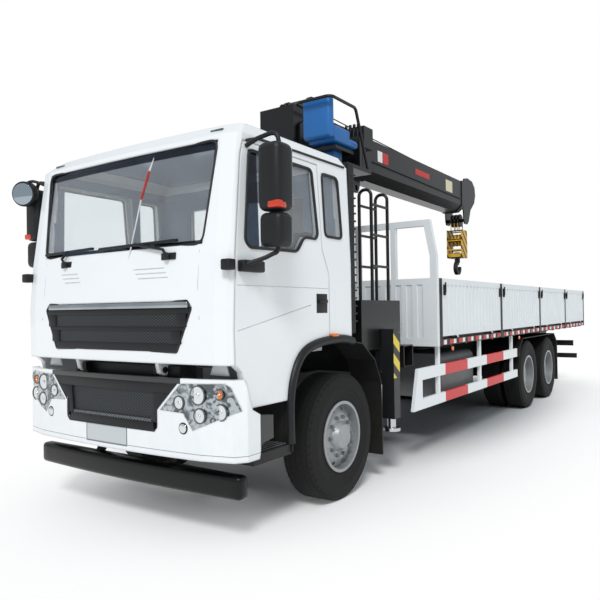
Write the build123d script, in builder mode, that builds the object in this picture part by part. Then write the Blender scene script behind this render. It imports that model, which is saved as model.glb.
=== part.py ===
"""Three-axle cab-over lorry with a straight telescopic crane behind the cab and a drop-side load bed.

The lorry faces -Y, its left side is +X and +Z is up. The origin is on the ground, midway along and
across the vehicle. Every place along the lorry is given as a distance behind the front bumper.
"""

from build123d import *
import math
import os

os.makedirs("parts", exist_ok=True)

# Whole vehicle and clearances
overall_length = 11970.0
gap = 6.0
seat_gap = 0.3
pin_fit = 0.05

# Wheels and axles
tyre_radius = 535.0
tyre_width = 290.0
rim_radius = 300.0
rim_wall = 12.0
front_axle_at = 1540.0
rear_axle_at = 7340.0
tandem_spacing = 1350.0
front_wheel_x = 1005.0
twin_outer_x = 1070.0
twin_spacing = 330.0
kingpin_x = 800.0
kingpin_radius = 30.0
stub_radius = 45.0
axle_radius = 70.0

# Chassis frame
frame_top = 1000.0
rail_height = 290.0
rail_width = 80.0
rail_wall = 10.0
rail_outer_x = 430.0
rail_front_at = 400.0
rail_rear_at = 11820.0
crossmember_depth = 80.0
spring_half_width = 40.0

# Load bed
bed_front_at = 3430.0
bed_half_width = 1240.0
headboard_depth = 70.0
deck_top = 1298.0
deck_plate = 28.0
bearer_height = 170.0
rave_inner_x = 1150.0
rave_outer_x = 1230.0
rave_bottom = 1195.0
rave_top = 1268.0
side_top = 1950.0
side_thickness = 40.0
post_length = 90.0
post_stations = (5800.0, 7990.0, 9985.0)
goalpost_top = 2600.0
goalpost_tube = 70.0
hinge_radius = 7.0
hinge_knuckle = 11.0
hinge_offset = 5.0
hinge_height = 1283.0

# Cab
cab_half_width = 1150.0
cab_floor_under = 1250.0
cab_floor_top = 1300.0
cab_rear_at = 1700.0
cab_wall = 70.0
door_thickness = 50.0
door_low = 945.0
glass_inset = 14.0
glass_thickness = 8.0
tilt_pivot_at = 130.0
tilt_pivot_height = 1195.0
tilt_pin_radius = 22.0

# Crane
slew_at = 2750.0
turntable_radius = 280.0
base_top = 1400.0
ring_top = 1460.0
column_half_width = 251.0
cheek_thickness = 30.0
boom_foot_at = 2400.0
boom_foot_height = 3480.0
boom_half_width = 215.0
boom_top = 3740.0
boom_side_foot = 3340.0
boom_bottom = 3240.0
boom_bottom_half = 105.0
boom_wall = 14.0
boom_gap = 8.0
boom_start_at = 2200.0
boom_end_at = 7200.0
collar_length = 80.0
head_pin_at = 7465.0
head_pin_height = 3130.0
sheave_radius = 110.0
sheave_pitch = 60.0
rope_radius = 7.0
luff_foot_at = 2700.0
luff_foot_height = 2100.0
luff_eye_at = 3750.0
luff_eye_height = 3130.0
barrel_radius = 72.0
barrel_bore = 58.0
barrel_length = 1380.0
rod_radius = 42.0
pin_radius = 30.0

# Outriggers
left_beam_at = 2435.0
right_beam_at = 3065.0
housing_size = 230.0
housing_wall = 12.0
housing_bottom = 1000.0
housing_half = 1060.0
leg_outer_x = 1225.0
leg_width = 130.0
leg_wall = 10.0
leg_top = 1420.0
leg_bottom = 560.0
jack_radius = 42.0
foot_radius = 85.0
foot_under = 440.0


def station(distance):
    """Y of a place a given distance behind the front bumper."""
    return distance - overall_length / 2


def block(x, y, z, mode=Mode.ADD):
    """A box between two X values, two distances behind the bumper and two heights."""
    size = (max(x) - min(x), max(y) - min(y), max(z) - min(z))
    with Locations((min(x), station(min(y)), min(z))):
        Box(*size, align=(Align.MIN, Align.MIN, Align.MIN), mode=mode)


def side_plane(x=0.0):
    """A plane across the lorry whose local X runs rearwards and local Y runs up."""
    return Plane(origin=(x, station(0), 0), x_dir=(0, 1, 0), z_dir=(1, 0, 0))


def slab(points, x, mode=Mode.ADD):
    """A side outline of (distance, height) corners, extruded between two X values."""
    with BuildSketch(side_plane(min(x))) as outline:
        Polygon(*points, align=None)
    extrude(outline.sketch, amount=max(x) - min(x), mode=mode)


def band(points, x, thickness):
    """A bent strip that follows (distance, height) points, between two X values."""
    with BuildSketch(side_plane(min(x))) as outline:
        with BuildLine():
            Polyline(*points)
        trace(line_width=thickness)
    extrude(outline.sketch, amount=max(x) - min(x))


def disc(x, distance, height, radius, mode=Mode.ADD):
    """A round plate or bore whose axis runs across the lorry, between two X values."""
    with BuildSketch(side_plane(min(x))) as outline:
        with Locations((distance, height)):
            Circle(radius)
    extrude(outline.sketch, amount=max(x) - min(x), mode=mode)


def upright(x, distance, height, radius, mode=Mode.ADD):
    """An upright round pin or bore between two heights."""
    with BuildSketch(Plane(origin=(x, station(distance), min(height)))) as outline:
        Circle(radius)
    extrude(outline.sketch, amount=max(height) - min(height), mode=mode)


def round_bar(start, end, radius, mode=Mode.ADD):
    """A round bar between two points (x, distance, height)."""
    a = Vector(start[0], station(start[1]), start[2])
    b = Vector(end[0], station(end[1]), end[2])
    with BuildSketch(Plane(origin=a, z_dir=b - a)) as section:
        Circle(radius)
    extrude(section.sketch, amount=(b - a).length, mode=mode)


def bent_tube(points, radius, bend):
    """A round tube along points (x, distance, height), with every corner bent to one radius."""
    places = [Vector(x, station(d), z) for x, d, z in points]
    with BuildLine() as path:
        FilletPolyline(*places, radius=bend)
    with BuildSketch(Plane(origin=places[0], z_dir=places[1] - places[0])) as section:
        Circle(radius)
    sweep(section.sketch, path=path.line)


def turned(points, centre_x, axle_at, side=1):
    """A solid turned about a wheel axis from (outward along the axis, radius) corners."""
    centre = (centre_x, station(axle_at), tyre_radius)
    with BuildSketch(Plane(origin=centre, x_dir=(side, 0, 0), z_dir=(0, -side, 0))) as section:
        Polygon(*points, align=None)
    revolve(section.sketch, axis=Axis(centre, (1, 0, 0)))


def save(part, label):
    """Labels a finished piece and writes it under its own name."""
    part.label = label
    export_step(part, f"parts/{label}.step")


# Chassis: two channel rails joined by crossmembers, with the cab pivots and the under-run bars
rail_bottom = frame_top - rail_height
web_x = rail_outer_x - rail_wall
rail_inner_x = rail_outer_x - rail_width
rail_middle_x = rail_outer_x - rail_width / 2
crossmembers = (420, 2250, 3250, 4400, 5500, 6650, 8015, 9400, 10600, 11700)
spring_hangers = (830, 2260, 6610, 9420)
under_run_x = (rail_outer_x - 50, rail_outer_x)
with BuildPart() as chassis_frame:
    for side in (-1, 1):
        rail_x = (side * rail_outer_x, side * rail_inner_x)
        block(rail_x, (rail_front_at, rail_rear_at), (rail_bottom, frame_top))
        hollow_z = (rail_bottom + rail_wall, frame_top - rail_wall)
        hollow_x = (side * web_x, side * rail_inner_x)
        block(hollow_x, (rail_front_at, rail_rear_at), hollow_z, Mode.SUBTRACT)
        for place in spring_hangers:
            hanger_x = (side * (rail_middle_x - 35), side * (rail_middle_x + 35))
            block(hanger_x, (place - 40, place + 40), (tyre_radius, rail_bottom))
        # the cab pivot is a tower on the rail's end with a pin that stands outwards
        tower_x = (side * (rail_outer_x - 40), side * rail_outer_x)
        slab(((480, 860), (480, 1000), (160, 1225), (100, 1225), (100, 1165), (400, 860)), tower_x)
        pin_x = (side * (rail_outer_x - 40), side * (rail_outer_x + 60))
        disc(pin_x, tilt_pivot_at, tilt_pivot_height, tilt_pin_radius)
        # the cab rests on a post near its rear edge
        rest_x = (side * (rail_outer_x - 60), side * rail_outer_x)
        block(rest_x, (1580, 1660), (frame_top - 1, cab_floor_under - seat_gap))
        hanger_x = (side * under_run_x[0], side * under_run_x[1])
        slab(((201, 464), (255, 464), (480, 720), (480, 800), (410, 800)), hanger_x)
        block(hanger_x, (11700, 11761), (480, rail_bottom + 1))
    for place in crossmembers:
        crossmember_z = (rail_bottom + 70, frame_top - 60)
        block((-web_x, web_x), (place, place + crossmember_depth), crossmember_z)
    block((-1120, 1120), (200, 260), (365, 465))
    block((-1100, 1100), (11760, 11820), (480, 580))
save(chassis_frame.part, "chassis_frame")

# Axles with leaf springs: a steered beam in front and a tandem bogie behind
hub_height = tyre_radius
boss_half = 55.0
spindle_end = twin_outer_x - 80
with BuildPart() as axles:
    boss_inner_x = kingpin_x - 70
    beam_z = (hub_height - 110, hub_height - 20)
    block((-boss_inner_x, boss_inner_x), (front_axle_at - 50, front_axle_at + 50), beam_z)
    for side in (-1, 1):
        boss_z = (hub_height - boss_half, hub_height + boss_half)
        boss_y = (front_axle_at - 45, front_axle_at + 45)
        block((side * (boss_inner_x - 60), side * kingpin_x), boss_y, boss_z)
        upright(side * kingpin_x, front_axle_at, boss_z, 58)
        upright(side * kingpin_x, front_axle_at, boss_z, kingpin_radius + pin_fit, Mode.SUBTRACT)
        spring_x = (side * (rail_middle_x - spring_half_width), side * (rail_middle_x + spring_half_width))
        low = hub_height - 40
        slab(
            (
                (790, hub_height - 30),
                (1250, low),
                (1830, low),
                (2300, hub_height - 30),
                (2300, hub_height - seat_gap),
                (2215, hub_height - seat_gap),
                (1830, low + 75),
                (1250, low + 75),
                (875, hub_height - seat_gap),
                (790, hub_height - seat_gap),
            ),
            spring_x,
        )
    for axle_at in (rear_axle_at, rear_axle_at + tandem_spacing):
        turned(
            (
                (-spindle_end, 0),
                (-spindle_end, axle_radius),
                (-300, axle_radius),
                (-120, 190),
                (120, 190),
                (300, axle_radius),
                (spindle_end, axle_radius),
                (spindle_end, 0),
            ),
            0,
            axle_at,
        )
    middle = rear_axle_at + tandem_spacing / 2
    for side in (-1, 1):
        spring_x = (side * (rail_middle_x - spring_half_width), side * (rail_middle_x + spring_half_width))
        slab(
            (
                (6570, hub_height - 30),
                (7340, hub_height + 30),
                (8690, hub_height + 30),
                (9460, hub_height - 30),
                (9460, hub_height - seat_gap),
                (9375, hub_height - seat_gap),
                (middle + 300, hub_height + 110),
                (middle - 300, hub_height + 110),
                (6655, hub_height - seat_gap),
                (6570, hub_height - seat_gap),
            ),
            spring_x,
        )
save(axles.part, "axles")

# Steering knuckles: a fork round the axle boss, its kingpin and the stub the hub turns on
fork_plate = 30.0
stub_end_x = front_wheel_x + 70
fork_half = boss_half + seat_gap + fork_plate
for label, side in (("knuckle_left", 1), ("knuckle_right", -1)):
    with BuildPart() as knuckle:
        fork_z = (hub_height - fork_half, hub_height + fork_half)
        fork_y = (front_axle_at - 45, front_axle_at + 45)
        upright(side * kingpin_x, front_axle_at, fork_z, kingpin_radius)
        for up in (-1, 1):
            plate_z = (hub_height + up * fork_half, hub_height + up * (fork_half - fork_plate))
            upright(side * kingpin_x, front_axle_at, plate_z, 55)
            block((side * kingpin_x, side * (kingpin_x + 95)), fork_y, plate_z)
        block((side * (kingpin_x + 65), side * (kingpin_x + 95)), fork_y, fork_z)
        disc((side * (kingpin_x + 70), side * stub_end_x), front_axle_at, hub_height, stub_radius)
    save(knuckle.part, label)


def tyre(centre_x, axle_at):
    """One tyre: flat tread, sloping shoulders, bulged walls and a bore that seats on the rim."""
    half = tyre_width / 2
    shoulder = 32.0
    bead = 26.0
    bore = rim_radius - rim_wall + seat_gap
    turned(
        (
            (-half + bead, bore),
            (half - bead, bore),
            (half, (rim_radius + tyre_radius) / 2),
            (half - 10, tyre_radius - shoulder),
            (half - shoulder, tyre_radius),
            (-half + shoulder, tyre_radius),
            (-half + 10, tyre_radius - shoulder),
            (-half, (rim_radius + tyre_radius) / 2),
        ),
        centre_x,
        axle_at,
    )


def barrel(centre_x, axle_at, side):
    """The rim's barrel, with a lip at each edge that stands clear of the tyre's bead."""
    half = tyre_width / 2 - 10
    seat = rim_radius - rim_wall
    turned(
        (
            (-half, seat - 14),
            (-half, rim_radius),
            (-half + 10, rim_radius),
            (-half + 10, seat),
            (half - 10, seat),
            (half - 10, rim_radius),
            (half, rim_radius),
            (half, seat - 14),
        ),
        centre_x,
        axle_at,
        side,
    )


def wheel_disc(centre_x, axle_at, side, disc_at, edge_at, hub_radius, bore):
    """The dished disc between the barrel and the hub, with ten round hand holes."""
    seat = rim_radius - rim_wall
    wall = 14.0
    turned(
        (
            (edge_at, seat - 13),
            (disc_at, hub_radius + 50),
            (disc_at, bore),
            (disc_at - wall, bore),
            (disc_at - wall, hub_radius + 45),
            (edge_at - wall - 20, seat - 13),
        ),
        centre_x,
        axle_at,
        side,
    )
    low = min(disc_at, edge_at) - 60
    plane = Plane(
        origin=(centre_x + side * low, station(axle_at), tyre_radius),
        x_dir=(0, 1, 0),
        z_dir=(side, 0, 0),
    )
    with BuildSketch(plane) as hand_holes:
        with PolarLocations((seat + hub_radius) / 2 + 22, 10):
            Circle(19)
    extrude(hand_holes.sketch, amount=abs(disc_at - edge_at) + 120, mode=Mode.SUBTRACT)


def hub(centre_x, axle_at, side, disc_at, radius, reach, bore):
    """The hub: a bored barrel behind the disc and a closed cap that stands out of it."""
    turned(
        (
            (disc_at - 110, bore),
            (disc_at - 110, radius - 20),
            (disc_at - 1, radius),
            (disc_at + reach, radius - 30),
            (disc_at + reach, 0.0),
            (disc_at + reach - 20, 0.0),
            (disc_at + reach - 20, bore),
        ),
        centre_x,
        axle_at,
        side,
    )


front_disc_at = 62.0
for label, side in (("left", 1), ("right", -1)):
    with BuildPart() as front_tyre:
        tyre(side * front_wheel_x, front_axle_at)
    save(front_tyre.part, f"tyre_front_{label}")
    with BuildPart() as front_rim:
        bore = stub_radius + pin_fit
        barrel(side * front_wheel_x, front_axle_at, side)
        wheel_disc(side * front_wheel_x, front_axle_at, side, front_disc_at + 40, front_disc_at, 140, bore)
        hub(side * front_wheel_x, front_axle_at, side, front_disc_at + 40, 130, 45, bore)
    save(front_rim.part, f"rim_front_{label}")

outer_disc_at = -70.0
for number, axle_at in (("1", rear_axle_at), ("2", rear_axle_at + tandem_spacing)):
    for label, side in (("left", 1), ("right", -1)):
        inner_x = side * (twin_outer_x - twin_spacing)
        with BuildPart() as twin_tyres:
            tyre(side * twin_outer_x, axle_at)
            tyre(inner_x, axle_at)
        save(twin_tyres.part, f"tyres_rear_{number}_{label}")
        with BuildPart() as twin_rims:
            bore = axle_radius + pin_fit
            barrel(side * twin_outer_x, axle_at, side)
            wheel_disc(side * twin_outer_x, axle_at, side, outer_disc_at, outer_disc_at + 90, 150, bore)
            hub(side * twin_outer_x, axle_at, side, outer_disc_at, 135, 130, bore)
            # the inner disc bows outwards to meet the outer one
            barrel(inner_x, axle_at, side)
            inner_disc_at = twin_spacing + outer_disc_at - 14
            wheel_disc(inner_x, axle_at, side, inner_disc_at, 90, 150, bore)
        save(twin_rims.part, f"rims_rear_{number}_{label}")

# Engine and gearbox: one plain block between the rails
with BuildPart() as engine:
    block((-300, 300), (720, 1880), (640, 1150))
    block((-190, 190), (1880, 2240), (660, 960))
    for side in (-1, 1):
        mount_x = (side * 300, side * rail_inner_x)
        block(mount_x, (900, 980), (880, frame_top - rail_wall - seat_gap))
        block(mount_x, (1640, 1720), (880, frame_top - rail_wall - seat_gap))
save(engine.part, "engine")

# Front bumper: a wrap-round shell with openings for the lower grille and the lamps
bumper_front_at = 0.0
bumper_half = 1205.0
bumper_wall = 35.0
bumper_low = 600.0
bumper_high = 1155.0
bumper_rear_at = 470.0
lamp_outline = ((545, 925), (735, 1118), (1085, 1128), (1135, 1100), (1180, 945), (835, 800), (750, 915))
mouth = ((-712, 1120), (712, 1120), (520, 925), (520, 800), (490, 765), (-490, 765), (-520, 800), (-520, 925))


def bumper_plan(inset):
    """The bumper's outline seen from above, set in from its skin."""
    half = bumper_half - inset
    front = station(bumper_front_at + inset)
    rear = station(bumper_rear_at)
    with BuildSketch(Plane.XY.offset(bumper_low)) as plan:
        with BuildLine():
            bow = ThreePointArc((-900, front + 45), (0, front), (900, front + 45))
            Polyline(
                bow @ 1,
                (half - 60, front + 110),
                (half, front + 190),
                (half, rear),
                (-half, rear),
                (-half, front + 190),
                (-half + 60, front + 110),
                bow @ 0,
            )
        make_face()
    return plan.sketch


def bumper_layer(outer, inner):
    """A layer of the bumper between two insets, over its full height."""
    extrude(bumper_plan(outer), amount=bumper_high - bumper_low)
    extrude(bumper_plan(inner), amount=bumper_high - bumper_low, mode=Mode.SUBTRACT)


def front_cut(points, depth, mode=Mode.SUBTRACT):
    """A front outline of (x, height) corners, carried back from ahead of the bumper."""
    plane = Plane(origin=(0, station(-60), 0), x_dir=(1, 0, 0), z_dir=(0, -1, 0))
    with BuildSketch(plane) as outline:
        Polygon(*points, align=None)
    extrude(outline.sketch, amount=-depth, mode=mode)


bracket_x = (rail_inner_x, rail_inner_x + 28)
with BuildPart() as front_bumper:
    bumper_layer(0, bumper_wall)
    front_cut(mouth, 400)
    for side in (-1, 1):
        front_cut([(side * x, z) for x, z in lamp_outline], 290)
        side_x = (side * (bumper_half - bumper_wall - 30), side * (bumper_half + 5))
        slab(((164, 1200), (242, 945), (330, 900), (480, 880), (480, 1200)), side_x, Mode.SUBTRACT)
        slab(((300, 560), (480, 560), (480, 720), (340, 700)), side_x, Mode.SUBTRACT)
        block((side * bracket_x[0], side * bracket_x[1]), (20, rail_front_at), (660, 740))
save(front_bumper.part, "front_bumper")

# Lower grille: slats on two uprights and a step plate, carried by brackets from the rails
slat_heights = (1090, 1030, 970, 910, 860)
with BuildPart() as lower_grille:
    for height in slat_heights:
        block((-760, 760), (45, 70), (height - 14, height + 14))
    for side in (-1, 1):
        block((side * 440, side * 480), (55, 90), (780, 1115))
    block((-640, 640), (40, 300), (785, 820))
    plane = Plane(origin=(0, station(-60), 0), x_dir=(1, 0, 0), z_dir=(0, -1, 0))
    with BuildSketch(plane) as mouth_edge:
        Polygon(*mouth, align=None)
        offset(amount=-seat_gap, kind=Kind.INTERSECTION, mode=Mode.REPLACE)
    extrude(mouth_edge.sketch, amount=-400, mode=Mode.INTERSECT)
    for side in (-1, 1):
        block((side * bracket_x[0], side * bracket_x[1]), (280, rail_front_at), (786, 850))
save(lower_grille.part, "lower_grille")

# Headlamps: one lens block in each lamp opening
with BuildPart() as headlamps:
    bumper_layer(6, 40)
    with BuildSketch(plane) as lamps:
        for side in (-1, 1):
            Polygon(*[(side * x, z) for x, z in lamp_outline], align=None)
        offset(amount=-seat_gap, kind=Kind.INTERSECTION, mode=Mode.REPLACE)
    extrude(lamps.sketch, amount=-289, mode=Mode.INTERSECT)
save(headlamps.part, "headlamps")

# Mudguards: a guard, a flap and a step box at each front wheel, and a long cover over each bogie side
guard_outer_x = 1175.0
guard_thickness = 10.0
with BuildPart() as mudguards:
    for side in (-1, 1):
        guard_x = (side * 870, side * guard_outer_x)
        arch = ((748, 560), (748, 930), (800, 1130), (920, 1270), (1150, 1345), (1500, 1362))
        arch += ((1850, 1310), (2080, 1150), (2200, 930), (2215, 250))
        band(arch, guard_x, guard_thickness)
        step_x = (side * 880, side * 1160)
        block(step_x, (300, 748), (545, 620))
        block(step_x, (300, 340), (545, 900))
        arm_x = (side * (rail_outer_x + seat_gap), side * 900)
        block(arm_x, (585, 635), (740, 790))
        block((side * 881, side * 900), (585, 635), (610, 790))
        block(arm_x, (2212, 2242), (880, 920))
        cover_x = (side * 590, side * 1222)
        first = rear_axle_at - 600
        last = rear_axle_at + tandem_spacing + 620
        cover = ((first, 860), (first + 60, 1010), (first + 220, 1125), (last - 240, 1125))
        cover += ((last - 70, 1010), (last, 860), (last + 5, 260))
        band(cover, cover_x, guard_thickness)
        arm_x = (side * (rail_outer_x + seat_gap), side * 700)
        for place in (first - 30, last):
            block(arm_x, (place, place + 30), (870, 910))
save(mudguards.part, "mudguards")

# Side guards: two rails, posts up to the bed and a raked front plate
guard_rail = 35.0
side_rails = ((555, 665), (860, 985))
with BuildPart() as side_guards:
    for side, start in ((1, 2870), (-1, 3180)):
        rail_x = (side * 1165, side * (1165 + guard_rail))
        for low, high in side_rails:
            block(rail_x, (start + 200, 6700), (low, high))
        slab(((start, 555), (start + 230, 555), (start + 230, 985), (start + 130, 985)), rail_x)
        post_x = (side * 1155, side * 1190)
        for place in (3560, 4980, 6440):
            block(post_x, (place, place + 60), (555, rave_bottom))
save(side_guards.part, "side_guards")

# Fuel tank: a rounded box strapped to the left rail
tank_x = (490.0, 1090.0)
tank_at = (3900.0, 5000.0)
tank_z = (560.0, 1080.0)
with BuildPart() as fuel_tank:
    block(tank_x, tank_at, tank_z)
    fillet(fuel_tank.edges().filter_by(Axis.Y), radius=90)
    for place in (4120, 4700):
        block((rail_outer_x, tank_x[0] + 100), (place, place + 60), (740, 940))
save(fuel_tank.part, "fuel_tank")

# Air intake: a tall column behind the cab's left rear corner, on a duct from the frame
with BuildPart() as air_intake:
    block((810, 1080), (1765, 1930), (1400, 2930))
    fillet(air_intake.edges().filter_by(Axis.Z), radius=40)
    block((380, 900), (1790, 1900), (1400, 1500))
    block((380, rail_outer_x), (1790, 1900), (frame_top, 1500))
save(air_intake.part, "air_intake")

# Load bed: bearers, edge rails, deck, stakes between the dropsides and the hinge ears
bed_rear_at = overall_length - hinge_knuckle - 15
side_hinge_x = bed_half_width + hinge_offset
tail_hinge_at = overall_length - hinge_knuckle
tail_outer_at = tail_hinge_at - hinge_offset
post_x_inner = bed_half_width - 60
rear_post_at = (tail_outer_at - side_thickness - gap - post_length, tail_outer_at - side_thickness - gap)
front_post_at = (bed_front_at + headboard_depth, bed_front_at + headboard_depth + post_length)
stakes = [front_post_at]
stakes += [(place - post_length / 2, place + post_length / 2) for place in post_stations]
stakes += [rear_post_at]
knuckle_length = 40.0
ear_length = 14.0
hinge_share = (0.2, 0.8)
gate_foot = 17.0


def gate_spans():
    """The two ends of each dropside, between neighbouring stakes."""
    return [(stakes[n][1] + gap, stakes[n + 1][0] - gap) for n in range(len(stakes) - 1)]


def hinge_planes():
    """A plane at each dropside's hinge: local X along it, local Y outwards, local Z up; its length."""
    planes = []
    for start, end in gate_spans():
        left = Plane(origin=(side_hinge_x, station(end), hinge_height), x_dir=(0, -1, 0), z_dir=(0, 0, 1))
        right = Plane(origin=(-side_hinge_x, station(start), hinge_height), x_dir=(0, 1, 0), z_dir=(0, 0, 1))
        planes.append((left, right, end - start))
    return planes


def hinge_places(hinges, offsets):
    """Places along every hinge line, each hinge at its share of the length plus the offsets."""
    places = []
    for plane, length in hinges:
        for share in hinge_share:
            places += [plane.location * Location((length * share + along, 0, 0)) for along in offsets]
    return places


tail_length = 2 * (bed_half_width - gap)
tail_plane = Plane(
    origin=(-tail_length / 2, station(tail_hinge_at), hinge_height), x_dir=(1, 0, 0), z_dir=(0, 0, 1)
)
bed_start = bed_front_at + headboard_depth
bearer_top = deck_top - deck_plate
bearer_foot = frame_top + bearer_height
cross_count = 16
cross_pitch = 530.0
hinges = [(tail_plane, tail_length)]
for left, right, length in hinge_planes():
    hinges += [(left, length), (right, length)]
ear_reach = knuckle_length / 2 + 1 + ear_length / 2
with BuildPart() as load_bed:
    for side in (-1, 1):
        bearer_x = (side * rail_outer_x, side * rail_inner_x)
        block(bearer_x, (bed_front_at, bed_rear_at), (frame_top, bearer_foot + 1))
        rave_x = (side * rave_inner_x, side * rave_outer_x)
        block(rave_x, (bed_start, bed_rear_at), (rave_bottom, rave_top))
    cross_y = station(bed_start + 30 + cross_pitch * (cross_count - 1) / 2)
    with Locations((0, cross_y, (bearer_foot + bearer_top) / 2)):
        with GridLocations(1, cross_pitch, 1, cross_count):
            Box(2 * rave_inner_x + 10, 60, bearer_top - bearer_foot)
    rear_beam = (-rave_inner_x - 5, rave_inner_x + 5)
    block(rear_beam, (bed_rear_at - 80, bed_rear_at), (bearer_foot, rave_top))
    deck_half = bed_half_width - side_thickness - gap
    block((-deck_half, deck_half), (bed_start, rear_post_at[1]), (bearer_top, deck_top))
    post_width = bed_half_width - post_x_inner
    post_places = []
    for start, end in stakes:
        for side in (-1, 1):
            post_x = side * (bed_half_width - post_width / 2)
            post_places.append((post_x, station((start + end) / 2), (rave_bottom + side_top) / 2))
    with Locations(*post_places):
        Box(post_width, post_length, side_top - rave_bottom)
    with Locations(*hinge_places(hinges, (-ear_reach, ear_reach))):
        Box(ear_length, 30, 22, align=(Align.CENTER, Align.MAX, Align.MAX))
        Cylinder(hinge_knuckle, ear_length, rotation=(0, 90, 0))
    with Locations(*hinge_places(hinges, (0,))):
        Cylinder(hinge_radius, 2 * ear_reach, rotation=(0, 90, 0))
save(load_bed.part, "load_bed")

# Headboard: a ribbed wall with a goalpost of square tube above it
rib_pitch = 130.0
rib_width = 70.0
rib_depth = 10.0
with BuildPart() as headboard:
    head_y = (bed_front_at, bed_front_at + headboard_depth)
    block((-bed_half_width, bed_half_width), head_y, (rave_bottom, side_top))
    groove_z = (rave_top + 20, side_top - 70)
    ribs = int((2 * bed_half_width - 200) // rib_pitch)
    for n in range(ribs):
        middle_x = (n - (ribs - 1) / 2) * rib_pitch
        groove_x = (middle_x - rib_width / 2, middle_x + rib_width / 2)
        block(groove_x, (bed_front_at, bed_front_at + rib_depth), groove_z, Mode.SUBTRACT)
        block(groove_x, (head_y[1] - rib_depth, head_y[1]), groove_z, Mode.SUBTRACT)
    tube_y = (bed_front_at, bed_front_at + 60)
    for side in (-1, 1):
        with BuildSketch(Plane(origin=(0, station(tube_y[0]), 0), x_dir=(1, 0, 0), z_dir=(0, -1, 0))) as leg:
            Polygon(
                (side * 1240, side_top),
                (side * 1240, 2200),
                (side * 1165, goalpost_top),
                (side * 1085, goalpost_top),
                (side * 1165, 2190),
                (side * 1165, side_top),
                align=None,
            )
        extrude(leg.sketch, amount=-60)
        for place in (720, 260):
            block((side * (place - 30), side * (place + 30)), tube_y, (side_top, goalpost_top))
    block((-1100, 1100), tube_y, (goalpost_top - goalpost_tube, goalpost_top))
save(headboard.part, "headboard")


def dropside(plane, length, label):
    """One ribbed dropside with its hinge leaves, modelled in its hinge's plane."""
    height = side_top - hinge_height
    outer = -hinge_offset
    inner = outer - side_thickness
    with BuildPart(plane) as gate:
        with Locations((length / 2, (outer + inner) / 2, (gate_foot + height) / 2)):
            Box(length, side_thickness, height - gate_foot)
        grooves = int((length - 120) // rib_pitch)
        groove_top = height - 70
        groove_foot = gate_foot + 50
        for face_at in (outer, inner):
            with Locations((length / 2, face_at, (groove_top + groove_foot) / 2)):
                with GridLocations(rib_pitch, 1, grooves, 1):
                    Box(rib_width, 2 * rib_depth, groove_top - groove_foot, mode=Mode.SUBTRACT)
        with Locations(*[(length * share, -1, 20) for share in hinge_share]):
            Box(knuckle_length, 10, 40)
        with Locations(*[(length * share, 0, 0) for share in hinge_share]):
            Cylinder(hinge_knuckle, knuckle_length, rotation=(0, 90, 0))
            Cylinder(hinge_radius + pin_fit, knuckle_length, rotation=(0, 90, 0), mode=Mode.SUBTRACT)
    save(gate.part, label)


for number, (left, right, length) in enumerate(hinge_planes(), start=1):
    dropside(left, length, f"dropside_left_{number}")
    dropside(right, length, f"dropside_right_{number}")
dropside(tail_plane, tail_length, "tailgate")

# Crane base: two cross tubes for the outriggers, a pedestal, the oil tank and the ladder
tube_top = housing_bottom + housing_size
tube_inner = housing_size / 2 - housing_wall
beam_clearance = gap
oil_x = (640.0, 1085.0)
oil_at = (2000.0, 2820.0)
oil_top = 1700.0
ladder_x = (940.0, 1070.0)
ladder_at = (2250.0, 2590.0)
ladder_top = 2764.0
ladder_tube = 16.0
with BuildPart() as crane_base:
    block((-420, 420), (left_beam_at + 1, right_beam_at - 1), (housing_bottom, tube_top))
    for place in (left_beam_at, right_beam_at):
        block((-housing_half, housing_half), (place - 115, place + 115), (housing_bottom, tube_top))
    for place in (left_beam_at, right_beam_at):
        middle_z = housing_bottom + housing_size / 2
        block(
            (-housing_half, housing_half),
            (place - tube_inner, place + tube_inner),
            (middle_z - tube_inner, middle_z + tube_inner),
            Mode.SUBTRACT,
        )
    upright(0, slew_at, (tube_top - 1, base_top), turntable_radius)
    upright(0, slew_at, (base_top - 1, ring_top), turntable_radius + 30)
    block(oil_x, oil_at, (tube_top - 1, oil_top))
    for distance in ladder_at:
        near, far = ladder_x
        hoop = (
            (near, distance, oil_top - 5),
            (near, distance, ladder_top),
            (far, distance, ladder_top),
            (far, distance, oil_top - 5),
        )
        bent_tube(hoop, ladder_tube, 60)
    for height in (2030, 2330, 2620):
        for x in ladder_x:
            round_bar((x, ladder_at[0], height), (x, ladder_at[1], height), 13)
save(crane_base.part, "crane_base")

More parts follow.
